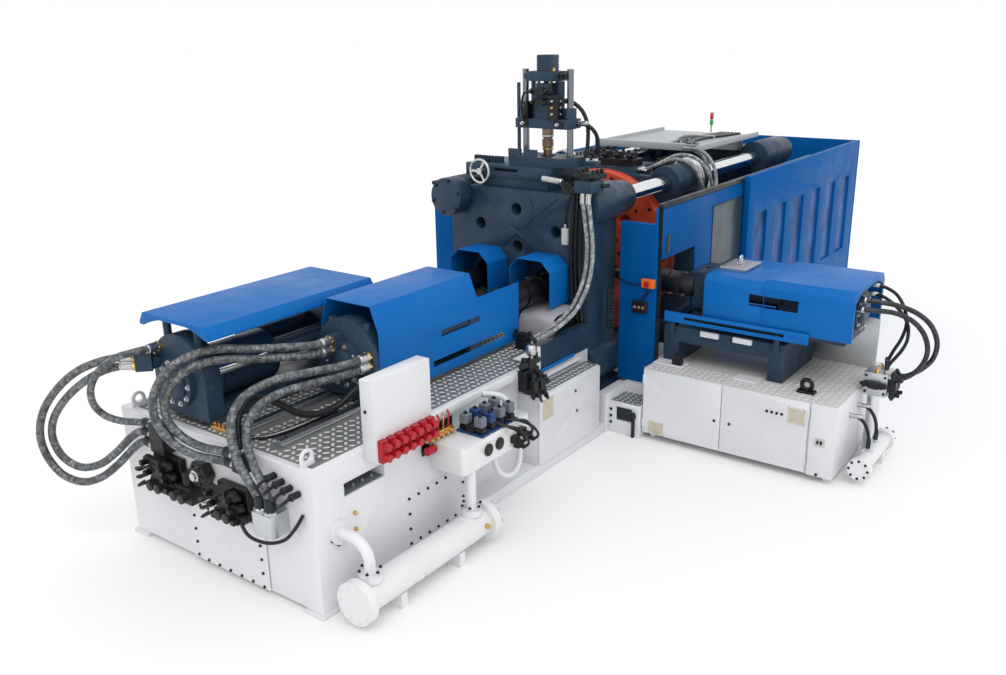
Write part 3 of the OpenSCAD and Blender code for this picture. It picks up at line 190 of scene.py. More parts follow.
CLAMP_HOSES = [
    [
        (1.34, -0.3305, 0.89), (1.34, -0.4, 0.89), (1.35, -0.56, 0.955), (1.37, -0.73, 1.02),
        (1.4, -0.88, 1), (1.435, -0.98, 0.9), (1.475, -1.025, 0.78), (1.55, -1.03, 0.68),
        (1.655, -1.005, 0.635), (1.755, -0.985, 0.675), (1.828, -0.968, 0.77),
        (1.866, -0.932, 0.88), (1.885, -0.868, 0.97), (1.893, -0.795, 1.027), (1.9, -0.735, 1.052),
        (1.928, -0.685, 1.063), (1.98, -0.65, 1.069), (2.045, -0.64, 1.07), (2.0895, -0.64, 1.07),
    ],
    [
        (1.41, -0.3305, 0.89), (1.41, -0.4, 0.89), (1.418, -0.565, 0.97), (1.435, -0.755, 1.06),
        (1.462, -0.93, 1.045), (1.495, -1.05, 0.95), (1.535, -1.1, 0.825), (1.59, -1.11, 0.72),
        (1.68, -1.09, 0.668), (1.77, -1.065, 0.7), (1.822, -1.04, 0.795), (1.842, -1, 0.9),
        (1.848, -0.93, 1), (1.849, -0.85, 1.058), (1.851, -0.77, 1.08), (1.856, -0.695, 1.083),
        (1.88, -0.63, 1.08), (1.935, -0.58, 1.073), (2.01, -0.56, 1.07), (2.0895, -0.56, 1.07),
    ],
]
PLATEN_HOSES = [
    [
        (-0.6, -0.8, 0.9495), (-0.6, -0.8, 0.88), (-0.603, -0.825, 0.7), (-0.612, -0.856, 0.5),
        (-0.632, -0.868, 0.33), (-0.68, -0.87, 0.17), (-0.765, -0.865, 0.03),
        (-0.885, -0.85, -0.09), (-1.04, -0.815, -0.18), (-1.21, -0.77, -0.24),
        (-1.35, -0.738, -0.265), (-1.42, -0.73, -0.27), (-1.4795, -0.73, -0.27),
    ],
    [
        (-0.6, -0.862, 0.9495), (-0.6, -0.862, 0.88), (-0.603, -0.887, 0.7), (-0.612, -0.918, 0.5),
        (-0.632, -0.93, 0.33), (-0.68, -0.932, 0.17), (-0.765, -0.927, 0.03),
        (-0.885, -0.912, -0.09), (-1.04, -0.877, -0.18), (-1.21, -0.832, -0.24),
        (-1.35, -0.8, -0.265), (-1.42, -0.792, -0.27), (-1.4795, -0.792, -0.27),
    ],
]
DRAIN_HOSES = [
    [
        (-0.32, -0.0005, 0.54), (-0.32, -0.06, 0.54), (-0.318, -0.12, 0.505),
        (-0.313, -0.165, 0.42), (-0.31, -0.18, 0.33), (-0.31, -0.18, 0.2405),
    ],
    [
        (-0.09, -0.0005, 0.56), (-0.09, -0.06, 0.56), (-0.088, -0.12, 0.525),
        (-0.083, -0.165, 0.44), (-0.08, -0.18, 0.34), (-0.08, -0.18, 0.2405),
    ],
]


# Camera

CAMERA_AT = (-8.05, -5.335, 3.8)
YAW, PITCH, ROLL = math.radians(36.3), math.radians(-18.1), math.radians(0.9)
FOCAL_PX, PHOTO_WIDTH_PX, SENSOR_MM = 948, 1006, 36


def look():
    """The camera where the photograph was taken from."""
    level = math.cos(PITCH)
    forward = Vector((math.cos(YAW) * level, math.sin(YAW) * level, math.sin(PITCH)))
    right = Vector((math.sin(YAW), -math.cos(YAW), 0))
    down = forward.cross(right)
    across = right * math.cos(ROLL) + down * math.sin(ROLL)
    below = down * math.cos(ROLL) - right * math.sin(ROLL)
    data = bpy.data.cameras.new("camera")
    data.sensor_width = SENSOR_MM
    data.lens = FOCAL_PX / PHOTO_WIDTH_PX * SENSOR_MM
    camera = bpy.data.objects.new("camera", data)
    turn = Matrix((across, -below, -forward)).transposed().to_4x4()
    camera.matrix_world = Matrix.Translation(CAMERA_AT) @ turn
    scene.collection.objects.link(camera)
    scene.camera = camera


# Finishes

def finish_nodes(name, rough, metal=0.0, gloss=0.5):
    finish = bpy.data.materials.new(name)
    finish.use_nodes = True
    tree = finish.node_tree
    shader = tree.nodes["Principled BSDF"]
    shader.inputs["Roughness"].default_value = rough
    shader.inputs["Metallic"].default_value = metal
    shader.inputs["Specular IOR Level"].default_value = gloss
    return finish, tree, shader


def noise(tree, scale, detail=4.0, stretch=(1, 1, 1), distort=0.0):
    place = tree.nodes.new("ShaderNodeTexCoord")
    mapping = tree.nodes.new("ShaderNodeMapping")
    mapping.inputs["Scale"].default_value = stretch
    texture = tree.nodes.new("ShaderNodeTexNoise")
    texture.inputs["Scale"].default_value = scale
    texture.inputs["Detail"].default_value = detail
    texture.inputs["Distortion"].default_value = distort
    tree.links.new(place.outputs["Object"], mapping.inputs["Vector"])
    tree.links.new(mapping.outputs["Vector"], texture.inputs["Vector"])
    return texture.outputs["Fac"]


def stepped(tree, value, low, high, to_low=0.0, to_high=1.0):
    node = tree.nodes.new("ShaderNodeMapRange")
    node.inputs["From Min"].default_value = low
    node.inputs["From Max"].default_value = high
    node.inputs["To Min"].default_value = to_low
    node.inputs["To Max"].default_value = to_high
    tree.links.new(value, node.inputs["Value"])
    return node.outputs["Result"]


def maths(tree, operation, *values):
    node = tree.nodes.new("ShaderNodeMath")
    node.operation = operation
    for socket, value in zip(node.inputs, values):
        if isinstance(value, bpy.types.NodeSocket):
            tree.links.new(value, socket)
        else:
            socket.default_value = value
    return node.outputs[0]


def mixed(tree, factor, a, b):
    node = tree.nodes.new("ShaderNodeMix")
    node.data_type = "RGBA"
    for socket, value in ((node.inputs[6], a), (node.inputs[7], b)):
        if isinstance(value, tuple):
            socket.default_value = (*value, 1)
        else:
            tree.links.new(value, socket)
    tree.links.new(factor, node.inputs[0])
    return node.outputs[2]


def coloured(tree, shader, tone):
    tree.links.new(tone, shader.inputs["Base Color"])


def worn(tree, shader, value, span, low, high):
    """Roughness that follows a pattern, from low to high over the span of its values."""
    tree.links.new(stepped(tree, value, *span, low, high), shader.inputs["Roughness"])


def bumped(tree, shader, value, strength, distance):
    node = tree.nodes.new("ShaderNodeBump")
    node.inputs["Strength"].default_value = strength
    node.inputs["Distance"].default_value = distance
    tree.links.new(value, node.inputs["Height"])
    tree.links.new(node.outputs["Normal"], shader.inputs["Normal"])


def shade(colour, k):
    return tuple(c * k for c in colour)


def paint(name, colour, rough=0.36, grime=0.25, coat=0.2, dirt=(0.16, 0.14, 0.11), gloss=0.5):
    """Sprayed paint with a broad change of tone, hanging streaks and a little dirt."""
    finish, tree, shader = finish_nodes(name, rough, gloss=gloss)
    shader.inputs["Coat Weight"].default_value = coat
    shader.inputs["Coat Roughness"].default_value = 0.15
    tone = mixed(tree, noise(tree, 0.9, 2), shade(colour, 0.9), shade(colour, 1.06))
    streak = stepped(tree, noise(tree, 5, 5, (3, 3, 0.35)), 0.56, 0.8, 0, grime * 0.5)
    speck = stepped(tree, noise(tree, 14, 8, distort=0.6), 0.63, 0.78, 0, grime)
    tone = mixed(tree, streak, tone, shade(dirt, 2.2))
    coloured(tree, shader, mixed(tree, speck, tone, dirt))
    worn(tree, shader, noise(tree, 4, 6), (0.3, 0.7), rough - 0.07, rough + 0.1)
    bumped(tree, shader, noise(tree, 160, 2), 0.06, 0.001)
    return finish


def casting(name, colour, rough, metal=0.1):
    """Painted cast iron with a grainy skin and oily, rubbed patches."""
    finish, tree, shader = finish_nodes(name, rough, metal, 0.3)
    tone = mixed(tree, noise(tree, 2.2, 5), shade(colour, 0.72), shade(colour, 1.2))
    rubbed = stepped(tree, noise(tree, 17, 7, distort=0.8), 0.6, 0.74, 0, 0.5)
    coloured(tree, shader, mixed(tree, rubbed, tone, tuple(0.5 * c + 0.06 for c in colour)))
    worn(tree, shader, noise(tree, 6, 6), (0.3, 0.7), rough - 0.16, rough + 0.12)
    bumped(tree, shader, noise(tree, 75, 6), 0.3, 0.0025)
    return finish


def bare_metal(name, colour, rough, stretch=(1, 1, 1), stain=0.0, stain_colour=None):
    """Turned, ground or brushed metal, with the brush lines along one way."""
    finish, tree, shader = finish_nodes(name, rough, 1.0)
    lines = noise(tree, 170, 2, stretch)
    tone = mixed(tree, lines, shade(colour, 0.9), shade(colour, 1.03))
    if stain:
        mark = stepped(tree, noise(tree, 5, 7, distort=0.7), 0.55, 0.75, 0, stain)
        tone = mixed(tree, mark, tone, stain_colour)
    coloured(tree, shader, tone)
    worn(tree, shader, lines, (0.25, 0.75), max(rough - 0.05, 0.03), rough + 0.07)
    bumped(tree, shader, lines, 0.03, 0.0004)
    return finish


def moulded(name, colour, rough, dusty=0.18):
    """Moulded plastic or rubber with a fine matt grain."""
    finish, tree, shader = finish_nodes(name, rough, gloss=0.35)
    tone = mixed(tree, noise(tree, 25, 5), shade(colour, 0.75), shade(colour, 1.2))
    dust = stepped(tree, noise(tree, 7, 6), 0.58, 0.85, 0, dusty)
    coloured(tree, shader, mixed(tree, dust, tone, (0.25, 0.24, 0.22)))
    bumped(tree, shader, noise(tree, 400, 2), 0.12, 0.0006)
    return finish


def wrapped_hose(name, ground, wrap, share, pitch=0.036):
    """Rubber hose under a spiral wrap, whose light patches are partly scuffs and partly painted highlights;
    U runs along the hose in metres and V round it.
    """
    finish, tree, shader = finish_nodes(name, 0.33)
    place = tree.nodes.new("ShaderNodeTexCoord")
    split = tree.nodes.new("ShaderNodeSeparateXYZ")
    tree.links.new(place.outputs["UV"], split.inputs["Vector"])
    turns = maths(tree, "MULTIPLY_ADD", split.outputs["X"], 1 / pitch, split.outputs["Y"])
    hill = maths(tree, "PINGPONG", maths(tree, "FRACT", turns), 0.5)
    band = stepped(tree, hill, 0.5 * share - 0.05, 0.5 * share + 0.05)
    # Light patches on the wrap at random places: partly scuffs, partly painted highlights.
    scuff_and_highlight_patches = stepped(tree, noise(tree, 26, 8, distort=0.6), 0.42, 0.68)
    scuffs_and_painted_highlights = mixed(tree, scuff_and_highlight_patches, shade(wrap, 0.4), shade(wrap, 1.9))
    rubber = mixed(tree, noise(tree, 22, 6), shade(ground, 0.6), shade(ground, 1.5))
    coloured(tree, shader, mixed(tree, band, rubber, scuffs_and_painted_highlights))
    bumped(tree, shader, band, 0.22, 0.0015)
    return finish


def pane(name, colour, clear, gloss):
    """Machine glazing with a faint smear."""
    finish, tree, shader = finish_nodes(name, 0.2, gloss=gloss)
    shader.inputs["Transmission Weight"].default_value = clear
    shader.inputs["IOR"].default_value = 1.45
    smear = stepped(tree, noise(tree, 4, 7, (1, 1, 0.5), 1.2), 0.35, 0.65)
    coloured(tree, shader, mixed(tree, smear, shade(colour, 1.25), shade(colour, 0.55)))
    return finish


def lamp_lens(name, colour):
    finish, tree, shader = finish_nodes(name, 0.2)
    coloured(tree, shader, mixed(tree, noise(tree, 40, 2), shade(colour, 0.85), colour))
    shader.inputs["Coat Weight"].default_value = 0.6
    return finish


BLUE = paint("cover_blue", (0.002, 0.13, 0.44), rough=0.42, grime=0.05, coat=0.03, dirt=(0.01, 0.06, 0.16),
             gloss=0.14)
GUARD_BLUE = paint("guard_blue", (0.001, 0.092, 0.32), rough=0.42, grime=0.05, coat=0.02,
                   dirt=(0.006, 0.05, 0.15), gloss=0.03)
WHITE = paint("machine_white", (0.7, 0.71, 0.735), grime=0.1)
PIPE_WHITE = paint("pipe_white", (0.73, 0.74, 0.755), rough=0.3, grime=0.08, coat=0.4)
SLATE = casting("slate_casting", (0.021, 0.045, 0.08), 0.46)
DARK_IRON = casting("dark_iron", (0.022, 0.028, 0.036), 0.4, 0.3)
GREY = paint("gantry_grey", (0.37, 0.4, 0.43), rough=0.42, grime=0.3, coat=0.1)
PLATE_GREY = bare_metal("zinc_plate", (0.62, 0.64, 0.66), 0.42, stain=0.2, stain_colour=(0.4, 0.4, 0.38))
CHROME = bare_metal("ground_chrome", (0.78, 0.8, 0.82), 0.12, (0.05, 1, 1))
STEEL = bare_metal("bright_steel", (0.56, 0.57, 0.58), 0.28)
COLUMN_STEEL = bare_metal("column_steel", (0.2, 0.215, 0.245), 0.26, (1, 1, 0.05))
BRASS = bare_metal("brass_fitting", (0.72, 0.48, 0.17), 0.3, stain=0.4, stain_colour=(0.25, 0.14, 0.05))
BAND = bare_metal("heater_band", (0.07, 0.07, 0.074), 0.42, stain=0.4, stain_colour=(0.06, 0.045, 0.035))
BROWN_BAND = bare_metal("scorched_band", (0.22, 0.16, 0.125), 0.4, stain=0.6,
                        stain_colour=(0.1, 0.05, 0.03))
TREAD = paint("tread_ground", (0.14, 0.147, 0.15), rough=0.42, grime=0.5, coat=0.0, dirt=(0.1, 0.085, 0.07))
LUG = paint("tread_lug", (0.58, 0.59, 0.59), rough=0.3, coat=0.1, dirt=(0.3, 0.27, 0.22))
WORN_TREAD = paint("worn_tread", (0.56, 0.55, 0.535), rough=0.4, grime=0.4, coat=0.0,
                   dirt=(0.32, 0.3, 0.27))
WORN_LUG = paint("worn_lug", (0.76, 0.75, 0.735), rough=0.3, grime=0.3, coat=0.1, dirt=(0.5, 0.47, 0.42))
SHIELD = paint("shield_sheet", (0.42, 0.41, 0.45), rough=0.38, grime=0.15, coat=0.1)
COPPER = bare_metal("copper_pipe", (0.62, 0.3, 0.16), 0.32, stain=0.4, stain_colour=(0.2, 0.09, 0.05))
COIL_BLUE = moulded("coil_blue", (0.012, 0.045, 0.17), 0.38)
COIL_GREY = moulded("coil_grey", (0.14, 0.16, 0.19), 0.4)
ORANGE = paint("table_orange", (0.58, 0.068, 0.026), rough=0.42, grime=0.5, coat=0.1,
               dirt=(0.14, 0.025, 0.015), gloss=0.3)
RED = moulded("regulator_red", (0.4, 0.011, 0.02), 0.34)
BLACK = moulded("valve_black", (0.007, 0.008, 0.01), 0.4, 0.08)
RUBBER = moulded("plain_rubber", (0.008, 0.009, 0.011), 0.36, 0.08)
BEIGE = moulded("vent_beige", (0.62, 0.58, 0.48), 0.5)
PALE = moulded("switch_grey", (0.5, 0.51, 0.5), 0.45)
SIGNAL_ORANGE = moulded("stop_box_orange", (0.8, 0.16, 0.02), 0.4)
GREEN = lamp_lens("lamp_green", (0.02, 0.45, 0.12))
LAMP_RED = lamp_lens("lamp_red", (0.75, 0.02, 0.02))
GUARD_PANE = pane("guard_pane", (0.028, 0.09, 0.28), 0.0, 0.05)
DOOR_PANE = pane("door_pane", (0.07, 0.105, 0.12), 0.3, 0.2)
WRAP = wrapped_hose("spiral_wrapped_hose", (0.05, 0.055, 0.06), (0.125, 0.135, 0.145), 0.16)
DARK_WRAP = wrapped_hose("dark_wrapped_hose", (0.01, 0.01, 0.012), (0.025, 0.027, 0.03), 0.3)
SILVER_WRAP = wrapped_hose("silver_wrapped_hose", (0.2, 0.215, 0.22), (0.3, 0.32, 0.33), 0.35, 0.014)


# Meshes

def smoothed(mesh, sharp):
    """Smooth shading, with the edges past an angle in degrees left sharp."""
    mesh.polygons.foreach_set("use_smooth", [True] * len(mesh.polygons))
    mesh.set_sharp_from_angle(angle=math.radians(sharp))


def to_piece(name, bm, body, finishes, sharp=32):
    """One finished piece at the origin, riding on a body."""
    bmesh.ops.recalc_face_normals(bm, faces=bm.faces)
    mesh = bpy.data.meshes.new(name)
    bm.to_mesh(mesh)
    bm.free()
    for finish in finishes:
        mesh.materials.append(finish)
    smoothed(mesh, sharp)
    piece = bpy.data.objects.new(name, mesh)
    scene.collection.objects.link(piece)
    if body:
        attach(piece, body)
    return piece


def settled(piece, sharp):
    """Turns what a piece's modifiers make into its own plain mesh."""
    view = bpy.context.evaluated_depsgraph_get()
    final = bpy.data.meshes.new_from_object(piece.evaluated_get(view))
    piece.modifiers.clear()
    first = piece.data
    piece.data = final
    bpy.data.meshes.remove(first)
    smoothed(final, sharp)
    return final


def round_the(sides):
    """The angles of a ring's points."""
    return [math.tau * k / sides for k in range(sides)]


def swept_rings(points, r, sides):
    """Rings of points round a path, carried along it without twist."""
    points = [Vector(p) for p in points]
    last = len(points) - 1
    side, rings = None, []
    for i, p in enumerate(points):
        way = (points[min(i + 1, last)] - points[max(i - 1, 0)]).normalized()
        if side is None:
            side = Vector((1, 0, 0)) if abs(way.z) > 0.9 else Vector((0, 0, 1))
        side = (side - way * side.dot(way)).normalized()
        up = way.cross(side)
        rings.append([p + (side * math.cos(a) + up * math.sin(a)) * r for a in round_the(sides)])
    return rings


def smooth_route(route, steps=8):
    """The curve through a route's points, as in the solids."""
    p = [Vector(v) for v in route]
    last, out = len(p) - 1, []
    for i in range(last):
        a, b, c, d = p[max(i - 1, 0)], p[i], p[i + 1], p[min(i + 2, last)]
        for j in range(steps):
            t = j / steps
            out.append(0.5 * (2 * b + (c - a) * t + (2 * a - 5 * b + 4 * c - d) * t * t
                              + (3 * b - a - 3 * c + d) * t ** 3))
    return out + [p[last]]


class Part:
    """Collects shapes into one mesh, each with one of the part's finishes."""

    def __init__(self, name, body, *finishes):
        self.name, self.body, self.finishes = name, body, finishes
        self.bm = bmesh.new()

    def faces(self, points, faces, finish, at=None):
        verts = [self.bm.verts.new(at @ Vector(p) if at else p) for p in points]
        for face in faces:
            made = self.bm.faces.new([verts[i] for i in face])
            made.material_index = self.finishes.index(finish)

    def skin(self, rings, finish, at=None):
        """A closed skin over a row of rings."""
        sides = len(rings[0])
        points = [p for ring in rings for p in ring]
        faces = []
        for i in range(0, len(points) - sides, sides):
            for k in range(sides):
                n = (k + 1) % sides
                faces.append((i + k, i + n, i + sides + n, i + sides + k))
        faces.append(tuple(reversed(range(sides))))
        faces.append(tuple(range(len(points) - sides, len(points))))
        self.faces(points, faces, finish, at)

    def box(self, x0, x1, y0, y1, z0, z1, finish, soft=0.004, at=None):
        """A block with its edges broken."""
        low, high = (x0, y0, z0), (x1, y1, z1)
        b = min(soft, *[(h - l) * 0.45 for l, h in zip(low, high)])
        points, index = [], {}
        for corner in range(8):
            bits = [(corner >> k) & 1 for k in range(3)]
            ends = [high[k] if bits[k] else low[k] for k in range(3)]
            for axis in range(3):
                p = [e if k == axis else (e - b if bits[k] else e + b) for k, e in enumerate(ends)]
                index[corner, axis] = len(points)
                points.append(p)
        out = []
        for axis in range(3):
            u, v = [k for k in range(3) if k != axis]
            for side in range(2):
                base = side << axis
                ring = [base, base | 1 << u, base | 1 << u | 1 << v, base | 1 << v]
                out.append([index[c, axis] for c in ring])
            for cu in range(2):
                for cv in range(2):
                    a = cu << u | cv << v
                    b2 = a | 1 << axis
                    out.append([index[a, u], index[b2, u], index[b2, v], index[a, v]])
        out += [[index[c, 0], index[c, 1], index[c, 2]] for c in range(8)]
        self.faces(points, out, finish, at)

    def turned(self, start, along, profile, finish, sides=20):
        """A lathe shape: pairs of distance along and radius from the start point."""
        axis = Vector(along).normalized()
        at = Matrix.Translation(start) @ axis.to_track_quat("Z", "Y").to_matrix().to_4x4()
        rings = [[(r * math.cos(a), r * math.sin(a), h) for a in round_the(sides)] for h, r in profile]
        self.skin(rings, finish, at)

    def rod(self, start, end, r, finish, sides=14):
        start, end = Vector(start), Vector(end)
        n = (end - start).length
        e = min(r * 0.15, n * 0.3)
        self.turned(start, end - start, [(0, r - e), (e, r), (n - e, r), (n, r - e)], finish, sides)

    def hexagon(self, start, along, r, height, finish):
        self.turned(start, along, [(0, r), (height * 0.8, r), (height, r * 0.85)], finish, 6)

    def tube(self, points, r, finish, steps, sides):
        """A bent pipe or wire on the curve through a few points."""
        self.skin(swept_rings(smooth_route(points, steps), r, sides), finish)

    def done(self):
        return to_piece(self.name, self.bm, self.body, self.finishes)


# Hoses

def hose(name, route, corner, r, finish, node, bodies):
    """A hose with its wrap laid along its length; one that crosses a joint rides on no body."""
    path = [v + Vector(corner) for v in smooth_route(route)]
    bm = bmesh.new()
    wrap = bm.loops.layers.uv.new("along")
    verts = [[bm.verts.new(p) for p in ring] for ring in swept_rings(path, r, HOSE_SIDES)]
    run = [0.0]
    for a, b in zip(path, path[1:]):
        run.append(run[-1] + (b - a).length)
    for i in range(len(path) - 1):
        for k in range(HOSE_SIDES):
            n = (k + 1) % HOSE_SIDES
            face = bm.faces.new((verts[i][k], verts[i][n], verts[i + 1][n], verts[i + 1][k]))
            for loop, (u, v) in zip(face.loops, ((i, k), (i, k + 1), (i + 1, k + 1), (i + 1, k))):
                loop[wrap].uv = (run[u], v / HOSE_SIDES)
    bm.faces.new(list(reversed(verts[0])))
    bm.faces.new(verts[-1])
    piece = to_piece(name, bm, None if len(bodies) == 2 else bodies[0], [finish], 50)
    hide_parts(node)
    if len(bodies) == 2:
        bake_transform(piece)
    return path


def ferrule(part, path, r, nut, sleeve):
    """A crimped sleeve and swivel nut on the first end of a path."""
    way = path[1] - path[0]
    part.turned(path[0], way, [(0, r * 1.1), (0.02, r * 1.2), (0.022, r * 1.32), (0.1, r * 1.32),
                               (0.105, r * 1.16), (0.115, r * 1.12)], sleeve)
    part.hexagon(path[0], way, r * 1.5, 0.03, nut)


def all_hoses():
    fixed = Part("hose_end_fittings", "frame", STEEL, BRASS, DARK_IRON)
    moving = {body: Part(body + "_hose_fittings", body, STEEL, BRASS, DARK_IRON)
              for body in ("left_unit", "right_unit", "side_unit", "vertical_unit", "moving_platen")}

    def group(name, routes, corner, node, looks, body=None, nut=STEEL):
        """The hoses of one kind, each with its radius and finish, shared between start and end."""
        bodies = ("frame", body) if body else ("frame",)
        for i, (route, (r, finish)) in enumerate(zip(routes, looks)):
            path = hose(f"{name}_{i + 1}", route, corner, r, finish, node, bodies)
            ferrule(moving.get(body, fixed), path, r, nut, STEEL)
            ferrule(fixed, path[::-1], r, STEEL, DARK_IRON)

    bed_end, side_end, centre = (BED_X0, 0, AXIS_Z), (SIDE_X, SIDE_END, AXIS_Z), (0, 0, AXIS_Z)
    thin, small = HOSE_R - 0.01, HOSE_R / 2
    group("left_unit_hose", LEFT_HOSES, bed_end, "left_unit_hoses",
          [(HOSE_R, WRAP)] * 2 + [(HOSE_R - 0.003, WRAP)], "left_unit", BRASS)
    group("right_unit_hose", RIGHT_HOSES + [DROOP_HOSE], bed_end, "right_unit_hoses",
          [(HOSE_R, WRAP)] * 4 + [(HOSE_R - 0.006, RUBBER)],
          "right_unit", BRASS)
    group("side_unit_hose", SIDE_HOSES + THIN_SIDE_HOSES, side_end, "side_unit_hoses",
          [(HOSE_R - 0.008, DARK_WRAP)] * 2 + [(small, RUBBER)] * 2,
          "side_unit")
    group("vertical_unit_hose", VERTICAL_HOSES, (UPRIGHT_X, UPRIGHT_Y, PLATEN_Z), "vertical_unit_hoses",
          [(thin, RUBBER)] * 2, "vertical_unit")
    group("clamp_hose", CLAMP_HOSES, centre, "clamp_hoses", [(thin, SILVER_WRAP)] * 2,
          "moving_platen")
    group("platen_hose", PLATEN_HOSES, centre, "fixed_hoses", [(thin, SILVER_WRAP)] * 2)
    group("drain_hose", DRAIN_HOSES, (SIDE_X, SIDE_END, 0), "fixed_hoses", [(small, RUBBER)] * 2)
    for part in (fixed, *moving.values()):
        part.done()


# Solids from the frame, dressed with broken edges

DRESSED = {
    "injection_bed": (WHITE, 0.006), "clamp_base": (WHITE, 0.006), "step_platforms": (WHITE, 0.005),
    "terminal_panel": (WHITE, 0.006), "control_cabinet": (WHITE, 0.005),
    "control_cabinet_door": (WHITE, 0.004), "side_cabinet": (WHITE, 0.005),
    "side_door_left": (WHITE, 0.004), "side_door_right": (WHITE, 0.004), "filter_box": (PIPE_WHITE, 0.008),
    "fixed_platen": (SLATE, 0.012), "tie_bar_caps": (SLATE, 0.012), "rear_platen": (SLATE, 0.012),
    "moving_platen": (SLATE, 0.012), "clamp_cylinder": (SLATE, 0.012), "vertical_base": (SLATE, 0.008),
    "vertical_crosshead": (SLATE, 0.006), "left_carriage": (SLATE, 0.008), "right_carriage": (SLATE, 0.008),
    "side_carriage": (SLATE, 0.008), "side_base": (SLATE, 0.008), "unit_guards": (BLUE, 0.0015),
    "left_cover": (BLUE, 0.0015), "right_cover": (BLUE, 0.0015), "side_cover": (BLUE, 0.0015),
    "guard_columns": (GUARD_BLUE, 0.008), "side_guards": (GUARD_BLUE, 0.006),
    "end_guard": (GUARD_BLUE, 0.008), "far_door": (GUARD_BLUE, 0.006), "front_door": (GUARD_BLUE, 0.006),
    "hydraulic_valves": (BLACK, 0.005), "side_manifold": (PLATE_GREY, 0.003),
    "rotary_table": (ORANGE, 0.01), "purge_shields": (SHIELD, 0.0015), "hose_tray": (GREY, 0.004),
    "door_rails": (DARK_IRON, 0.004), "deck_plates": (TREAD, 0.001),
}
BARE = {
    "unit_rails": STEEL, "oil_coolers": PIPE_WHITE, "cooler_pipes": PIPE_WHITE, "water_regulators": RED,
    "tie_bars": CHROME, "guard_windows": GUARD_PANE, "signal_lamp": PALE, "vertical_columns": COLUMN_STEEL,
    "left_barrel": BAND, "right_barrel": BAND, "side_barrel": BAND, "vertical_barrel": BROWN_BAND,
    "clamp_ram": CHROME, "front_door_window": DOOR_PANE, "handwheel": STEEL,
}

# The distance at which points are joined, and the angles in degrees that count as flat and as an edge.
MERGED, FLAT_DEG, EDGE_DEG = 2e-5, 0.6, 35


def split_neck(bm):
    """Cuts the faces of the bed's neck where its dark paint begins."""
    for point, way in (((NECK_X, 0, 0), TO_CLAMP), ((0, 0, NECK_Z), TOP)):
        faces = [f for f in bm.faces if max(v.co.x for v in f.verts) > NECK_X + 0.01]
        edges = {e for f in faces for e in f.edges}
        verts = {v for f in faces for v in f.verts}
        bmesh.ops.bisect_plane(bm, geom=[*verts, *edges, *faces], plane_co=point, plane_no=way)


def dressed(node, finish, edge):
    """A copy of a solid with its edges broken, in place of the bare one."""
    bm = bmesh.new()
    bm.from_mesh(cad_nodes[node].data)
    bmesh.ops.remove_doubles(bm, verts=bm.verts, dist=MERGED)
    bmesh.ops.dissolve_limit(bm, angle_limit=math.radians(FLAT_DEG), verts=bm.verts, edges=bm.edges)
    if node == "injection_bed":
        split_neck(bm)
    mesh = bpy.data.meshes.new(node + "_dressed")
    bm.to_mesh(mesh)
    bm.free()
    piece = bpy.data.objects.new(node + "_dressed", mesh)
    scene.collection.objects.link(piece)
    cut = piece.modifiers.new("broken_edges", "BEVEL")
    cut.width = edge
    cut.segments = 2
    cut.limit_method = "ANGLE"
    cut.angle_limit = math.radians(EDGE_DEG)
    cut.use_clamp_overlap = True
    final = settled(piece, 40)
    final.materials.clear()
    final.materials.append(finish)
    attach(piece, cad_nodes[node]["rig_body"])
    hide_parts(node)


def repaint(node, finish, there):
    """Another finish on the faces of a dressed solid that lie where asked."""
    mesh = bpy.data.objects[node + "_dressed"].data
    mesh.materials.append(finish)
    for face in mesh.polygons:
        face.material_index = 1 if there(face.center) else 0


def dress_solids():
    for node, (finish, edge) in DRESSED.items():
        dressed(node, finish, edge)
    repaint("deck_plates", WORN_TREAD, lambda at: at.z < (SIDE_DECK_Z + DECK_Z) / 2)
    repaint("injection_bed", SLATE, lambda at: at.x > NECK_X and at.z > NECK_Z)
    repaint("hydraulic_valves", PLATE_GREY, lambda at: at.x < BED_X0 and at.y < -0.6)
    for node, finish in BARE.items():
        mesh = cad_nodes[node].data
        mesh.materials.clear()
        mesh.materials.append(finish)


# Repeated pieces made by node trees

def node_tree(name, *sizes):
    """A tree that takes places, named sizes and a finish."""
    tree = bpy.data.node_groups.new(name, "GeometryNodeTree")
    tree.interface.new_socket("Places", in_out="INPUT", socket_type="NodeSocketGeometry")
    for label in sizes:
        tree.interface.new_socket(label, in_out="INPUT", socket_type="NodeSocketFloat")
    tree.interface.new_socket("Finish", in_out="INPUT", socket_type="NodeSocketMaterial")
    tree.interface.new_socket("Pieces", in_out="OUTPUT", socket_type="NodeSocketGeometry")
    return tree, tree.nodes.new("NodeGroupInput").outputs, tree.nodes.new("NodeGroupOutput").inputs


def linked(tree, kind, **inputs):
    node = tree.nodes.new(kind)
    for label, value in inputs.items():
        socket = node.inputs[label.replace("_", " ")]
        if isinstance(value, bpy.types.NodeSocket):
            tree.links.new(value, socket)
        else:
            socket.default_value = value
    return node


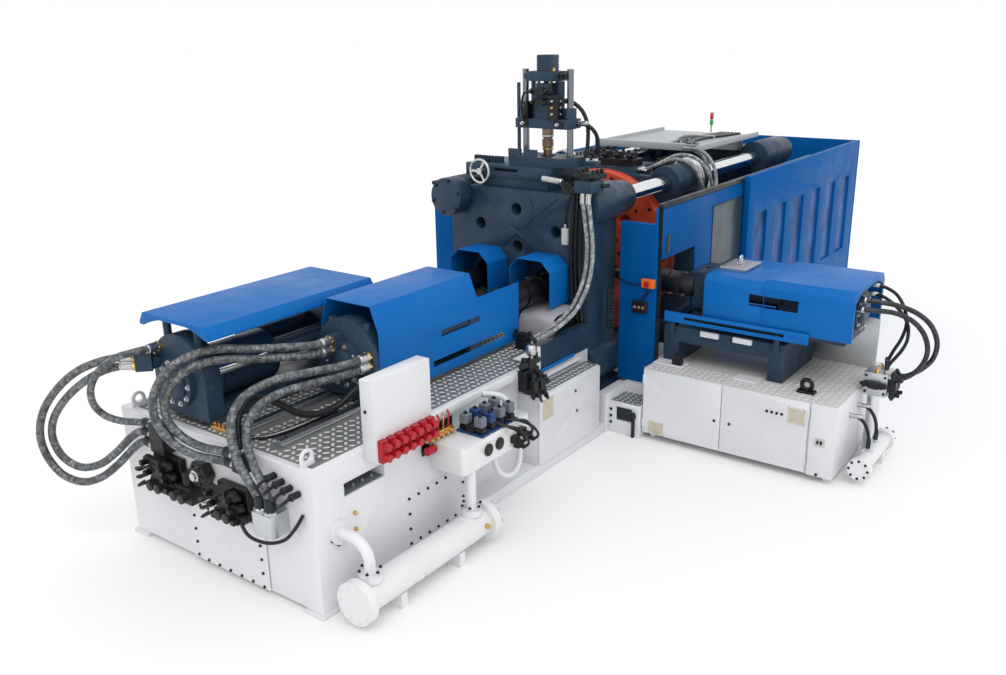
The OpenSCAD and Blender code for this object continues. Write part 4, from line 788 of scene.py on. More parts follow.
def placed_by(tree, given, out, shape):
    """Sets a shape on every place, turned to face the way stored there."""
    way = tree.nodes.new("GeometryNodeInputNamedAttribute")
    way.data_type = "FLOAT_VECTOR"
    way.inputs["Name"].default_value = "way"
    spin = tree.nodes.new("GeometryNodeInputNamedAttribute")
    spin.inputs["Name"].default_value = "spin"
    about = linked(tree, "ShaderNodeCombineXYZ", Z=spin.outputs["Attribute"])
    turn = linked(tree, "FunctionNodeEulerToRotation", Euler=about.outputs[0])
    facing = linked(tree, "FunctionNodeAlignRotationToVector", Vector=way.outputs["Attribute"])
    facing.axis = "Z"
    both = linked(tree, "FunctionNodeRotateRotation", Rotation=facing.outputs[0], Rotate_By=turn.outputs[0])
    both.rotation_space = "LOCAL"
    set_out = linked(tree, "GeometryNodeInstanceOnPoints", Points=given["Places"],
                     Instance=shape, Rotation=both.outputs[0])
    real = linked(tree, "GeometryNodeRealizeInstances", Geometry=set_out.outputs[0])
    done = linked(tree, "GeometryNodeSetMaterial", Geometry=real.outputs[0], Material=given["Finish"])
    tree.links.new(done.outputs[0], out["Pieces"])


def bolt_tree():
    """A hexagon head on a washer."""
    tree, given, out = node_tree("bolt_heads", "Radius", "Height")
    washer = linked(tree, "GeometryNodeMeshCylinder", Vertices=12,
                    Radius=maths(tree, "MULTIPLY", given["Radius"], 1.5),
                    Depth=maths(tree, "MULTIPLY", given["Height"], 0.4))
    head = linked(tree, "GeometryNodeMeshCylinder", Vertices=6,
                  Radius=given["Radius"], Depth=given["Height"])
    rise = linked(tree, "ShaderNodeCombineXYZ", Z=maths(tree, "MULTIPLY", given["Height"], 0.55))
    up = linked(tree, "GeometryNodeTransform", Geometry=head.outputs["Mesh"], Translation=rise.outputs[0])
    shape = tree.nodes.new("GeometryNodeJoinGeometry")
    tree.links.new(washer.outputs["Mesh"], shape.inputs[0])
    tree.links.new(up.outputs[0], shape.inputs[0])
    placed_by(tree, given, out, shape.outputs[0])
    return tree


def sized_tree(name):
    """A tree with a length, a width and a rise, and the vector that holds them."""
    tree, given, out = node_tree(name, "Length", "Width", "Rise")
    size = linked(tree, "ShaderNodeCombineXYZ", X=given["Length"], Y=given["Width"], Z=given["Rise"])
    return tree, given, out, size.outputs[0]


def lug_tree():
    tree, given, out, size = sized_tree("tread_lugs")
    ball = linked(tree, "GeometryNodeMeshUVSphere", Segments=8, Rings=4, Radius=0.5)
    lug = linked(tree, "GeometryNodeTransform", Geometry=ball.outputs["Mesh"], Scale=size)
    placed_by(tree, given, out, lug.outputs[0])
    return tree


def slat_tree():
    tree, given, out, size = sized_tree("vent_slats")
    slat = linked(tree, "GeometryNodeMeshCube", Size=size)
    placed_by(tree, given, out, slat.outputs["Mesh"])
    return tree


BOLTS, LUGS, SLATS = bolt_tree(), lug_tree(), slat_tree()
HEAD = dict(Radius=0.0085, Height=0.011)
SMALL_HEAD = dict(Radius=0.008, Height=0.009)
FLANGE_HEAD = dict(Radius=0.014, Height=0.016)
CAP_HEAD = dict(Radius=0.015, Height=0.014)
FLAT_HEAD = dict(Radius=0.014, Height=0.003)
DECK_LUG = dict(Length=0.054, Width=0.027, Rise=0.007)
STEP_LUG = dict(Length=0.048, Width=0.024, Rise=0.006)
DECK_PITCH, STEP_PITCH = 0.062, 0.056


def repeated(name, tree, places, body, **sizes):
    """Runs a tree on a list of (point, way, spin) and keeps the result as a plain mesh."""
    mesh = bpy.data.meshes.new(name + "_places")
    mesh.from_pydata([p for p, _, _ in places], [], [])
    way = mesh.attributes.new("way", "FLOAT_VECTOR", "POINT")
    way.data.foreach_set("vector", [c for _, w, _ in places for c in w])
    spin = mesh.attributes.new("spin", "FLOAT", "POINT")
    spin.data.foreach_set("value", [s for _, _, s in places])
    piece = bpy.data.objects.new(name, mesh)
    scene.collection.objects.link(piece)
    maker = piece.modifiers.new("maker", "NODES")
    maker.node_group = tree
    for item in tree.interface.items_tree:
        if item.item_type == "SOCKET" and item.in_out == "INPUT" and item.name in sizes:
            maker[item.identifier] = sizes[item.name]
    piece.update_tag()
    final = settled(piece, 35)
    for attribute in ("way", "spin"):
        if attribute in final.attributes:
            final.attributes.remove(final.attributes[attribute])
    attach(piece, body)


def bolts(name, places, body="frame", finish=DARK_IRON, head=HEAD):
    repeated(name, BOLTS, places, body, Finish=finish, **head)


def row(a, b, count, way):
    a, b = Vector(a), Vector(b)
    return [(a.lerp(b, k / max(count - 1, 1)), way, 0.0) for k in range(count)]


def ring(centre, r, count, way, start=0.0):
    """Places on a circle round an axis."""
    turn = Vector(way).to_track_quat("Z", "Y")
    return [(Vector(centre) + turn @ Vector((r * math.cos(a), r * math.sin(a), 0)), way, a)
            for a in (start + math.tau * k / count for k in range(count))]


def frame_of_bolts(x0, x1, z0, z1, y, nx, nz, way):
    """Places round the edge of an upright panel that lies across Y."""
    out = row((x0, y, z0), (x1, y, z0), nx, way) + row((x0, y, z1), (x1, y, z1), nx, way)
    return out + [p for x in (x0, x1) for p in row((x, y, z0), (x, y, z1), nz, way)[1:-1]]


def lattice(x0, x1, y0, y1, z, pitch, inside=None):
    """Alternate places of tread lugs over a flat area, or over the part of it that is asked for."""
    out, i = [], 0
    x = x0 + pitch / 2
    while x < x1:
        y, k = y0 + pitch / 2, 0
        while y < y1:
            if inside is None or inside(x, y):
                out.append(((x, y, z), TOP, math.radians(45 if (i + k) % 2 else -45)))
            y += pitch
            k += 1
        x += pitch
        i += 1
    return out


def tread_plates():
    edge, rail_hw = 0.09, 0.055

    def on_bed(x, y):
        if abs(y) > BED_HW - edge or x < BED_X0 + edge or x > DECK_X1 - 0.03:
            return False
        if x > DECK_WAIST_X and abs(y) > NECK_HW - 0.05:
            return False
        if -4.32 < x < -4.17 and abs(abs(y) - EYE_Y) < 0.05:
            return False
        return not any(abs(abs(y) - UNIT_Y - d) < rail_hw and -4.19 < x < -1.27 for d in (-RAIL_Y, RAIL_Y))

    def on_side(x, y):
        under_base = -0.19 < x < 0.62 and -2.66 < y
        return -0.44 < x < 0.87 and -3.21 < y < -1.44 and not under_base

    bed = lattice(BED_X0, DECK_X1, -BED_HW, BED_HW, DECK_Z, DECK_PITCH, on_bed)
    repeated("bed_tread_lugs", LUGS, bed, "frame", Finish=LUG, **DECK_LUG)
    side = lattice(-0.457, 0.887, -3.23, -1.42, SIDE_DECK_Z, DECK_PITCH, on_side)
    repeated("side_tread_lugs", LUGS, side, "frame", Finish=WORN_LUG, **DECK_LUG)


# Small fittings

def placed(origin, along, up):
    """A frame with X along one way and Z up another."""
    a, u = Vector(along).normalized(), Vector(up).normalized()
    return Matrix.Translation(origin) @ Matrix((a, u.cross(a), u)).transposed().to_4x4()


def fittings(name, body="frame"):
    """A part with the finishes that small fittings share."""
    return Part(name, body, BLACK, DARK_IRON, STEEL, PALE, BRASS, WHITE, RED, BLUE, COIL_BLUE, COIL_GREY,
                RUBBER, COPPER, SLATE, SIGNAL_ORANGE)


def spool_valve(part, origin, along, up, k=1.0, coil=DARK_IRON):
    """A directional valve: a spool block, two coils with end nuts and a plug on each coil."""
    at = placed(origin, along, up)
    plug = 0.015 * k
    profile = [(h * k, r * k) for h, r in ((0, 0.028), (0.058, 0.028), (0.062, 0.02), (0.082, 0.012))]
    part.box(-0.05 * k, 0.05 * k, -0.034 * k, 0.034 * k, 0, 0.07 * k, BLACK, at=at)
    for side in (-1, 1):
        way = at.to_3x3() @ Vector((side, 0, 0))
        part.turned(at @ Vector((side * 0.05 * k, 0, 0.036 * k)), way, profile, coil, 12)
        x = side * 0.08 * k
        part.box(x - plug, x + plug, -plug, plug, 0.06 * k, 0.1 * k, BLACK, at=at)


def wire(part, points, r=WIRE_R, finish=RUBBER):
    """A clipped wire through a few points."""
    part.tube(points, r, finish, 5, 7)


def hex_plug(part, start, along, r, finish):
    part.hexagon(start, along, r, r * 0.9, finish)
    part.turned(Vector(start) + Vector(along).normalized() * r * 0.85, along,
                [(0, r * 0.6), (r * 0.8, r * 0.6), (r, r * 0.45)], finish, 10)


def turn_lock(part, start, along):
    r = 0.0095
    part.turned(start, along, [(0, r * 1.4), (0.003, r * 1.4), (0.004, r), (0.01, r * 0.92),
                               (0.01, r * 0.4), (0.013, r * 0.35)], BLACK, 14)


def lifting_eye(part, foot, along, r, finish):
    """A cast eye: a foot plate and a ring that stands on it."""
    foot, along, up = Vector(foot), Vector(along).normalized(), Vector(TOP)
    part.box(-r * 1.3, r * 1.3, -r * 0.7, r * 0.7, 0, r * 0.4, finish, at=placed(foot, along, up))
    centre = foot + up * r * 1.25
    angles = (*round_the(18), math.tau)
    loop = [centre + (along * math.cos(a) + up * math.sin(a)) * r * 0.75 for a in angles]
    part.skin(swept_rings(loop, r * 0.33, 8), finish)


def vent(name, body, centre, way, width, height):
    """A moulded filter vent: a raised rim and level slats."""
    up, way = Vector(TOP), Vector(way)
    at = placed(centre, up.cross(way), up)
    part = Part(name, body, BEIGE)
    w, h, rim, rise, slat = width / 2, height / 2, 0.011, 0.008, 0.006
    part.box(-w, w, -0.003, 0, -h, h, BEIGE, 0.001, at)
    for s in (-1, 1):
        part.box(*sorted((s * w, s * (w - rim))), -rise, 0, -h, h, BEIGE, 0.002, at)
        part.box(-w, w, -rise, 0, *sorted((s * h, s * (h - rim))), BEIGE, 0.002, at)
    part.done()
    count = int((height - 2 * rim) / 0.013)
    spin = 0.0 if way.y else math.pi / 2
    foot = Vector(centre) + way * 0.004
    places = [(foot + up * (h - rim) * (2 * (k + 0.5) / count - 1), tuple(way), spin) for k in range(count)]
    repeated(name + "_slats", SLATS, places, body, Finish=BEIGE,
             Length=width - 2 * rim, Width=slat, Rise=slat)


# Injection bed

def valve_stack(part, x, y, low):
    """A manifold on the bed's end, with three valves and their wires."""
    part.box(x - 0.05, x + 0.006, y - 0.16, y + 0.16, low, low + 0.24, BLACK, 0.006)
    for k in range(3):
        step = 0.07 * k
        drop = 0.06 * k
        spool_valve(part, (x - 0.05, y + 0.03 * (k - 1), low + 0.045 + 0.075 * k), FAR, TO_BED, 1.3, BLACK)
        wire(part, [(x - 0.16, y + 0.13 - 0.05 * k, low + 0.05 + step),
                    (x - 0.2, y + 0.16, low + 0.02 + step),
                    (x - 0.15, y + 0.19, low + drop), (x - 0.04, y + 0.165, low + 0.02 + drop)])


def hose_union(part, x, y, z):
    """A black union on the bed's end, with the bent line that leaves it."""
    part.rod((x + 0.006, y, z), (x - 0.06, y, z), 0.024, BLACK)
    part.hexagon((x - 0.055, y, z), TO_BED, 0.028, 0.02, DARK_IRON)
    wire(part, [(x - 0.07, y, z), (x - 0.12, y + 0.01, z - 0.02), (x - 0.12, y + 0.07, z - 0.07),
                (x - 0.06, y + 0.12, z - 0.1), (x - 0.01, y + 0.15, z - 0.12)], 0.013)


def bed_end():
    x, plate_t = BED_X0 - 0.005, 0.006
    hub_y, hub_z, hub_h = 0.055, 0.805, 0.08
    part = fittings("bed_end_fittings")
    part.box(x - plate_t, x, -0.536, 0.31, 0.03, 0.53, WHITE, 0.002)
    x -= plate_t
    places = row((x, 0.26, 0.06), (x, 0.26, 0.5), 5, TO_BED)
    places += row((x, -0.475, 0.045), (x, -0.475, 0.487), 5, TO_BED)
    places += row((x, 0.145, 0.05), (x, -0.355, 0.05), 5, TO_BED)
    places += row((x, 0.17, 0.5), (x, 0.08, 0.498), 2, TO_BED)
    bolts("bed_end_bolts", places)
    for y, low in ((0.45, 0.6), (-0.29, 0.57)):
        valve_stack(part, x, y, low)
    hub = (x - hub_h, hub_y, hub_z)
    part.turned((x, hub_y, hub_z), TO_BED, [(0, 0.105), (0.07, 0.105), (hub_h, 0.095)], BLACK, 6)
    part.turned(hub, TO_BED, [(0, 0.045), (0.02, 0.045), (0.024, 0.03), (0.04, 0.03)], STEEL)
    bolts("bed_end_flange_bolts", ring(hub, 0.07, 6, TO_BED))
    for k in range(4):
        hose_union(part, x, -0.7 - 0.075 * k, 0.985 - 0.025 * k)
    wire(part, [(x - 0.11, -0.42, 0.62), (x - 0.14, -0.54, 0.545), (x - 0.12, -0.7, 0.53),
                (x - 0.08, -0.84, 0.58), (x - 0.04, -0.92, 0.68), (x, -0.95, 0.76)], 0.013)
    part.done()


def recess(part):
    """The back, floor and plugs of the recess in the bed's near side; the back is a dark plate that paints
    the recess's shade.
    """
    x0, x1, floor, floor_t = -4.053, -3.662, 0.8, 0.006
    # A dark plate at the back of the recess: painted shade, where the recess lies in shadow.
    part.box(x0, x1, -0.91, -0.897, floor + 0.002, floor + 0.098, DARK_IRON, 0.002)
    part.box(x0, x1, -1.04, -0.9, floor, floor + floor_t, COIL_GREY, 0.001)
    for k in range(4):
        hex_plug(part, (-4.0 + 0.09 * k, -0.99, floor + floor_t), TOP, 0.013, STEEL)


def water_board(part, y):
    """The brass manifold, pipes and red valve under the water regulators."""
    part.box(-3.262, -2.9, y - 0.002, y + 0.004, 0.79, 1.0, BLACK, 0.001)
    part.box(-3.25, -2.94, y - 0.05, y, 0.9, 0.95, BRASS, 0.006)
    for k in range(5):
        x = -3.22 + 0.06 * k
        hex_plug(part, (x, y - 0.05, 0.925), NEAR, 0.02, BRASS)
        wire(part, [(x, y - 0.025, 0.95), (x, y - 0.03, 1.0), (x + 0.02, y - 0.02, 1.04),
                    (x + 0.03, y + 0.003, 1.06)], 0.008, COPPER if k % 2 else RED)
    valve_y, valve_z = y - 0.06, 0.85
    part.rod((-3.28, valve_y, valve_z), (-3.185, valve_y, valve_z), 0.032, RED)
    part.hexagon((-3.19, valve_y, valve_z), TO_CLAMP, 0.024, 0.03, BRASS)
    part.box(-3.26, -3.2, valve_y, y + 0.002, 0.81, 0.83, DARK_IRON)


def bed_side():
    y = -BED_HW - 0.002
    x0, x1, z0, z1, inset = -3.455, -2.775, 0.125, 0.545, 0.025
    part = fittings("bed_side_fittings")
    for x, z in ((-3.978, 0.653), (-3.979, 0.531)):
        hex_plug(part, (x, y, z), NEAR, 0.016, BRASS)
    part.box(x0, x1, y - 0.005, y + 0.004, z0, z1, WHITE, 0.002)
    places = frame_of_bolts(x0 + inset, x1 - inset, z0 + inset, z1 - inset, y - 0.005, 7, 4, NEAR)
    bolts("bed_side_bolts", places)
    bolts("bed_far_side_bolts", [(Vector((p.x, -p.y, p.z)), FAR, s) for p, _, s in places])
    part.box(x0, x1, -y - 0.004, -y + 0.005, z0, z1, WHITE, 0.002)
    flange = ring((-4.13, y - 0.004, 0.56), 0.075, 6, NEAR, 0.3)
    for x in (-4.135, -3.035):
        flange += ring((x, COOLER_Y, 0.385), 0.073, 6, TOP, 0.5)
    bolts("cooler_pipe_bolts", flange)
    ends = ring((COOLER_X0, COOLER_Y, COOLER_Z), 0.135, 10, TO_BED)
    ends += ring((COOLER_X1, COOLER_Y, COOLER_Z), 0.135, 10, TO_CLAMP)
    bolts("cooler_end_bolts", ends, finish=PIPE_WHITE)
    hex_plug(part, (-3.0, -1.445, 0.22), NEAR, 0.022, BRASS)
    turn_lock(part, (-3.858, -1.1, 1.365), TO_BED)
    recess(part)
    water_board(part, y)
    part.done()


def deck_fittings():
    z = DECK_Z
    part = fittings("deck_fittings")
    part.box(-4.24, -4.19, -0.1, 0.08, z, z + 0.035, BRASS)
    for k in range(4):
        hex_plug(part, (-4.215, -0.08 + 0.045 * k, z + 0.035), TOP, 0.013, COPPER)
    for k in range(3):
        wire(part, [(-4.2, -0.11 - 0.02 * k, z + 0.012), (-4.19, -0.3, z + 0.014 + 0.002 * k),
                    (-4.1, -0.41 + 0.02 * k, z + 0.013), (-3.85, -0.45 + 0.025 * k, z + 0.012),
                    (-3.5, -0.44 + 0.025 * k, z + 0.012)], WIRE_R, PALE if k == 1 else RUBBER)
    part.box(-4.1, -3.985, 0.4, 0.52, z, z + 0.036, WHITE)
    part.box(-1.57, -1.47, -0.83, -0.69, z, z + 0.014, DARK_IRON)
    spool_valve(part, (-1.52, -0.76, 1.169), FAR, TOP, 0.9)
    places = [p for s in (-1, 1) for d in (-RAIL_Y, RAIL_Y)
              for p in row((-4.1, s * UNIT_Y + d, RAIL_TOP), (-1.36, s * UNIT_Y + d, RAIL_TOP), 2, TOP)]
    bolts("rail_end_bolts", places)
    part.done()


def filter_fittings():
    y, pipe_y = -1.38, -1.3
    part = fittings("filter_fittings")
    r = 0.048
    for x in (-2.875, -2.735):
        part.turned((x, y, 0.786), NEAR, [(0, r), (0.012, r), (0.014, r * 0.8), (0.02, r * 0.7)], BLACK)
    for x, z in ((-2.56, 0.76), (-2.47, 0.8), (-2.39, 0.73), (-2.52, 0.71)):
        part.box(x - 0.035, x + 0.035, y - 0.055, y + 0.002, z - 0.03, z + 0.03, BLACK, 0.006)
        part.rod((x, y - 0.05, z), (x, y - 0.085, z - 0.02), 0.02, BLACK)
        wire(part, [(x, y - 0.08, z - 0.02), (x + 0.01, y - 0.12, z + 0.03), (x - 0.05, y - 0.1, z + 0.12),
                    (x - 0.12, y - 0.01, z + 0.19 - (z - 0.7) * 0.6), (x - 0.16, y + 0.1, 0.93)])
    loop = [(-2.69, 0.69), (-2.69, 0.6), (-2.63, 0.48), (-2.52, 0.41), (-2.42, 0.41), (-2.36, 0.48),
            (-2.352, 0.58), (-2.352, 0.69)]
    part.tube([(x, pipe_y, z) for x, z in loop], 0.024, WHITE, 6, 12)
    part.tube([(-2.5, -1.05, 1.04), (-2.45, -1.12, 1.035), (-2.39, -1.17, 1.0), (-2.365, -1.19, 0.95),
               (-2.36, -1.19, 0.88)], 0.026, WHITE, 6, 12)
    for k in range(4):
        x = -2.875 + 0.12 * k
        coil = COIL_BLUE if k == 1 else COIL_GREY
        part.box(x - 0.05, x + 0.05, -1.37, -1.11, 0.89, 0.905, COIL_BLUE)
        for coil_y in (-1.31, -1.17):
            part.box(x - 0.034, x + 0.034, coil_y - 0.04, coil_y + 0.04, 0.955, 1.035, coil, 0.008)
            part.rod((x, coil_y, 1.03), (x, coil_y, 1.05), 0.016, BLACK, 10)
    part.done()


def valve_tower():
    """The pressure valves beside the electrical box, and the rails behind it."""
    part = fittings("valve_tower")
    tower_y, knob_x = -1.09, -1.878
    part.box(-2.026, -1.81, -1.13, -1.053, 0.91, 1.09, BLACK, 0.006)
    spool_valve(part, (-1.9, tower_y, 1.09), TO_CLAMP, TOP, 1.1)
    part.rod((knob_x, tower_y, 1.16), (knob_x, tower_y, 1.2), 0.02, STEEL)
    angles = [math.pi * k / 8 for k in range(9)]
    knob = [(0.048 * (1 - math.cos(a)), 0.02 + 0.03 * math.sin(a)) for a in angles]
    part.turned((knob_x, tower_y, 1.19), TOP, knob, STEEL)
    part.box(-1.73, -1.56, -1.03, -0.9, 0.757, 0.83, BLACK, 0.006)
    for k in range(3):
        spool_valve(part, (-1.69 + 0.055 * k, -0.965, 0.83), FAR, TOP, 0.9)
    for k in range(2):
        x = -1.95 + 0.1 * k
        spool_valve(part, (x, -1.13, 0.95), TOP, NEAR, 0.9)
        wire(part, [(x, -1.21, 0.9), (x + 0.02, -1.23, 0.83), (-1.85 + 0.08 * k, -1.17, 0.8),
                    (-1.76 + 0.05 * k, -1.08, 0.84), (-1.7 + 0.05 * k, -1.02, 0.88)])
    hex_plug(part, (-1.656, -1.03, 0.79), NEAR, 0.022, BRASS)
    part.rod((-1.6, -0.9, 0.83), (-1.6, -0.9, 0.95), 0.018, STEEL)
    part.turned((-1.6, -0.9, 0.95), TOP, [(0, 0.02), (0.01, 0.032), (0.04, 0.032), (0.05, 0.02)], STEEL)
    part.box(-1.407, -0.832, -0.875, -0.852, 0.84, 0.87, BLUE)
    part.box(-1.494, -0.751, -0.9, -0.852, 0.79, 0.815, WHITE)
    part.done()


def electrical_box():
    door, y, top_z = "control_cabinet_door", -1.0775, 0.76
    vent("box_vent", door, (-1.598, y, 0.621), NEAR, 0.15, 0.19)
    part = fittings("box_door_fittings", door)
    for x, z in ((-1.147, 0.635), (-1.122, 0.433)):
        turn_lock(part, (x, y, z), NEAR)
    part.done()
    top = Part("box_tread", "frame", TREAD)
    top.box(-1.54, -0.708, -1.05, -0.902, top_z - 0.004, top_z, TREAD, 0.001)
    top.done()
    lugs = lattice(-1.53, -0.72, -1.045, -0.905, top_z, STEP_PITCH)
    repeated("box_tread_lugs", LUGS, lugs, "frame", Finish=LUG, **STEP_LUG)


def steps():
    part = fittings("step_fittings")
    treads = Part("step_treads", "frame", TREAD)
    lugs, top_z = [], 0.333
    for s in (-1, 1):
        y0, y1 = sorted((s * 1.08, s * 1.39))
        treads.box(-0.495, -0.215, y0, y1, top_z - 0.004, top_z, TREAD, 0.001)
        lugs += lattice(-0.49, -0.22, y0, y1, top_z, STEP_PITCH)
        for z in (0.241, 0.173, 0.105):
            part.rod((-0.499, s * 1.088, z), (-0.504, s * 1.088, z), 0.016, BLACK, 12)
        part.box(-0.4985, -0.49, *sorted((s * 1.15, s * 1.31)), 0.15, 0.27, DARK_IRON, 0.002)
        part.box(-0.53, -0.5, *sorted((s * 1.325, s * 1.355)), 0.0, 0.26, BLACK, 0.006)
        part.rod((-0.515, s * 1.34, 0.2), (-0.515, s * 1.34, 0.24), 0.026, BLACK, 12)
    treads.done()
    repeated("step_tread_lugs", LUGS, lugs, "frame", Finish=LUG, **STEP_LUG)
    part.done()


# Clamp end

def guard_post():
    x, button_z = -0.15, 1.21
    part = fittings("guard_post_fittings")
    part.box(x - 0.045, x + 0.002, -1.346, -1.212, 1.415, 1.5, SIGNAL_ORANGE, 0.006)
    part.turned((x - 0.045, -1.279, 1.457), TO_BED,
                [(0, 0.018), (0.015, 0.018), (0.017, 0.03), (0.03, 0.028)], RED)
    part.box(x - 0.035, x + 0.002, -1.269, -1.109, 1.15, 1.27, BLACK, 0.008)
    for k in range(3):
        y = -1.145 - 0.045 * k
        part.rod((x - 0.033, y, button_z), (x - 0.05, y, button_z), 0.016, BRASS if k else STEEL, 10)
    wire(part, [(x - 0.02, -1.21, 1.44), (x - 0.02, -1.15, 1.425), (x - 0.015, -1.06, 1.43),
                (x - 0.012, -0.98, 1.46), (x - 0.005, -0.945, 1.5)], 0.007)
    wire(part, [(x - 0.025, -1.28, 1.415), (x - 0.025, -1.28, 1.37), (x - 0.025, -1.24, 1.32),
                (x - 0.02, -1.19, 1.27)], 0.007)
    part.done()
    door = fittings("front_door_fittings", "front_door")
    door.box(-0.138, -0.129, -1.392, -1.358, 0.46, 2.178, BLACK, 0.002)
    door.box(-0.04, 0.02, -DOOR_Y - 0.009, -DOOR_Y, 1.74, 1.92, BLACK, 0.003)
    x0, x1, z0, z1, seal = 0.985, 1.765, 1.285, 2.035, 0.015
    for strip in ((x0, x1, z0, z0 + seal), (x0, x1, z1 - seal, z1), (x0, x0 + seal, z0, z1),
                  (x1 - seal, x1, z0, z1)):
        door.box(*strip[:2], -1.395, -1.388, *strip[2:], BLACK, 0.002)
    door.done()
    far = fittings("far_door_fittings")
    far.box(-0.04, 0.02, DOOR_Y, DOOR_Y + 0.009, 1.2, 1.4, BLACK, 0.003)
    far.done()


def platen_fittings():
    x = PLATEN_X
    part = fittings("platen_fittings")
    part.box(x - 0.035, x + 0.012, -0.602, -0.535, 1.82, 1.98, PALE, 0.006)
    part.rod((x - 0.015, -0.57, 1.975), (x - 0.015, -0.57, 2.02), 0.012, STEEL)
    wire(part, [(x - 0.012, -0.57, 2.02), (x - 0.02, -0.575, 2.08), (x - 0.03, -0.6, 2.2),
                (x - 0.04, -0.66, 2.32), (x - 0.06, -0.74, 2.4)], 0.009)
    part.rod((x, -0.3, 2.43), (x, -0.5, 2.415), 0.026, PALE)
    part.hexagon((x, -0.49, 2.416), NEAR, 0.03, 0.03, STEEL)
    for k in range(3):
        drop = 0.02 * k
        wire(part, [(x, -0.5, 2.415), (x - drop, -0.56, 2.405 - drop), (x - 0.03 * k, -0.64, 2.37 - drop),
                    (x - 0.01, -0.7, 2.4), (x - 0.01 - drop, -0.745, 2.42)], 0.012)
    wall_x = x - 0.022
    for k in range(3):
        spool_valve(part, (-0.6 + 0.075 * k, -0.83, 2.46), FAR, TOP)
        y = -0.67 - 0.045 * k
        wire(part, [(x - 0.03, y, 2.36), (x - 0.025, y, 2.3), (wall_x, y + 0.02, 2.0),
                    (wall_x, y + 0.03, 1.7), (wall_x, y + 0.02, 1.4), (wall_x, y, 1.12),
                    (x - 0.02, y - 0.02, 0.95)], 0.019)
    part.rod((-0.47, -0.92, 2.4), (-0.4, -0.96, 2.4), 0.02, BLACK)
    part.box(-0.2, 0.05, -0.56, -0.42, 2.298, 2.35, BLACK, 0.006)
    for k in range(3):
        spool_valve(part, (-0.16 + 0.08 * k, -0.49, 2.35), FAR, TOP, 0.8)
    part.box(-0.36, -0.3, -0.955, -0.935, 1.0, 1.42, BLACK, 0.004)
    part.done()
    terminals = row((-0.33, -0.955, 1.03), (-0.33, -0.955, 1.39), 13, NEAR)
    repeated("platen_side_terminals", SLATS, terminals, "frame", Finish=STEEL,
             Length=0.016, Width=0.012, Rise=0.016)
    teeth = row((-0.35, 0.3, 2.53), (-0.35, 0.62, 2.53), 9, TOP)
    repeated("platen_comb", SLATS, teeth, "frame", Finish=SLATE, Length=0.05, Width=0.018, Rise=0.1)
    caps = ring((-0.72, TIE_Y, TIE_HI), 0.165, 6, TO_BED, 0.3)
    for y in (-TIE_Y, TIE_Y):
        for z in (TIE_LO, TIE_HI):
            caps += ring((4.57, y, z), 0.13, 8, TO_CLAMP)
    caps += ring((4.67, 0, AXIS_Z), 0.31, 16, TO_CLAMP)
    bolts("tie_bar_cap_bolts", caps, head=CAP_HEAD)


def vertical_fittings():
    x, y, face = UPRIGHT_X, UPRIGHT_Y, -0.335
    part = fittings("vertical_unit_fittings", "vertical_unit")
    spool_valve(part, (-0.315, y - 0.015, 3.22), FAR, TO_BED)
    spool_valve(part, (-0.315, y - 0.015, 3.12), FAR, TO_BED, 0.9)
    for s in (-1, 1):
        part.box(face, -0.318, y + s * 0.2 - 0.05, y + s * 0.2 + 0.05, 2.885, 2.945, BLACK, 0.004)
        hex_plug(part, (face, y + s * 0.2, 2.915), TO_BED, 0.022, STEEL)
        part.rod((x, y + s * 0.14, 3.3), (x, y + s * 0.14, 3.325), 0.05, STEEL)
        part.rod((x - 0.07, y + s * 0.075, 2.96), (x - 0.07, y + s * 0.075, 3.32), 0.016, STEEL)
        hex_plug(part, (x + s * 0.02, y + s * 0.08, 3.4), TOP, 0.018, BRASS)
        part.box(-0.3, -0.17, y + s * 0.19 - 0.02, y + s * 0.19 + 0.02, 3.33, 3.38, BLACK, 0.004)
    wire(part, [(-0.4, y + 0.06, 3.22), (-0.42, y + 0.13, 3.2), (-0.4, y + 0.17, 3.08),
                (-0.345, y + 0.19, 2.95)])
    wire(part, [(-0.4, y - 0.09, 3.22), (-0.42, y - 0.14, 3.24), (-0.36, y - 0.17, 3.34),
                (-0.28, y - 0.18, 3.37)])
    part.box(face, -0.24, -0.345, -0.24, 2.956, 3.19, BLACK, 0.004)
    for k in range(3):
        z = 3.01 + 0.06 * k
        hex_plug(part, (face, -0.29, z), TO_BED, 0.015, BRASS if k == 1 else STEEL)
        part.rod((-0.29, -0.345, z), (-0.29, -0.362, z), 0.014, STEEL, 10)
    part.box(face, -0.24, 0.0, 0.05, 2.956, 3.12, BLACK, 0.004)
    for k in range(6):
        z, fin = 3.405 + 0.024 * k, 0.079
        part.box(x - fin, x + fin, y - fin, y + fin, z, z + 0.009, SLATE, 0.002)
    part.rod((x, y, 2.78), (x, y, 2.81), 0.062, STEEL)
    part.rod((x, y, 2.66), (x, y, 2.68), 0.058, BRASS)
    part.done()
    lower = fittings("vertical_base_fittings")
    for s in (-1, 1):
        lower.turned((x, y + s * 0.256, 2.54), TOP,
                     [(0, 0.06), (0.03, 0.06), (0.034, 0.045), (0.05, 0.042)], SLATE)
    lower.done()


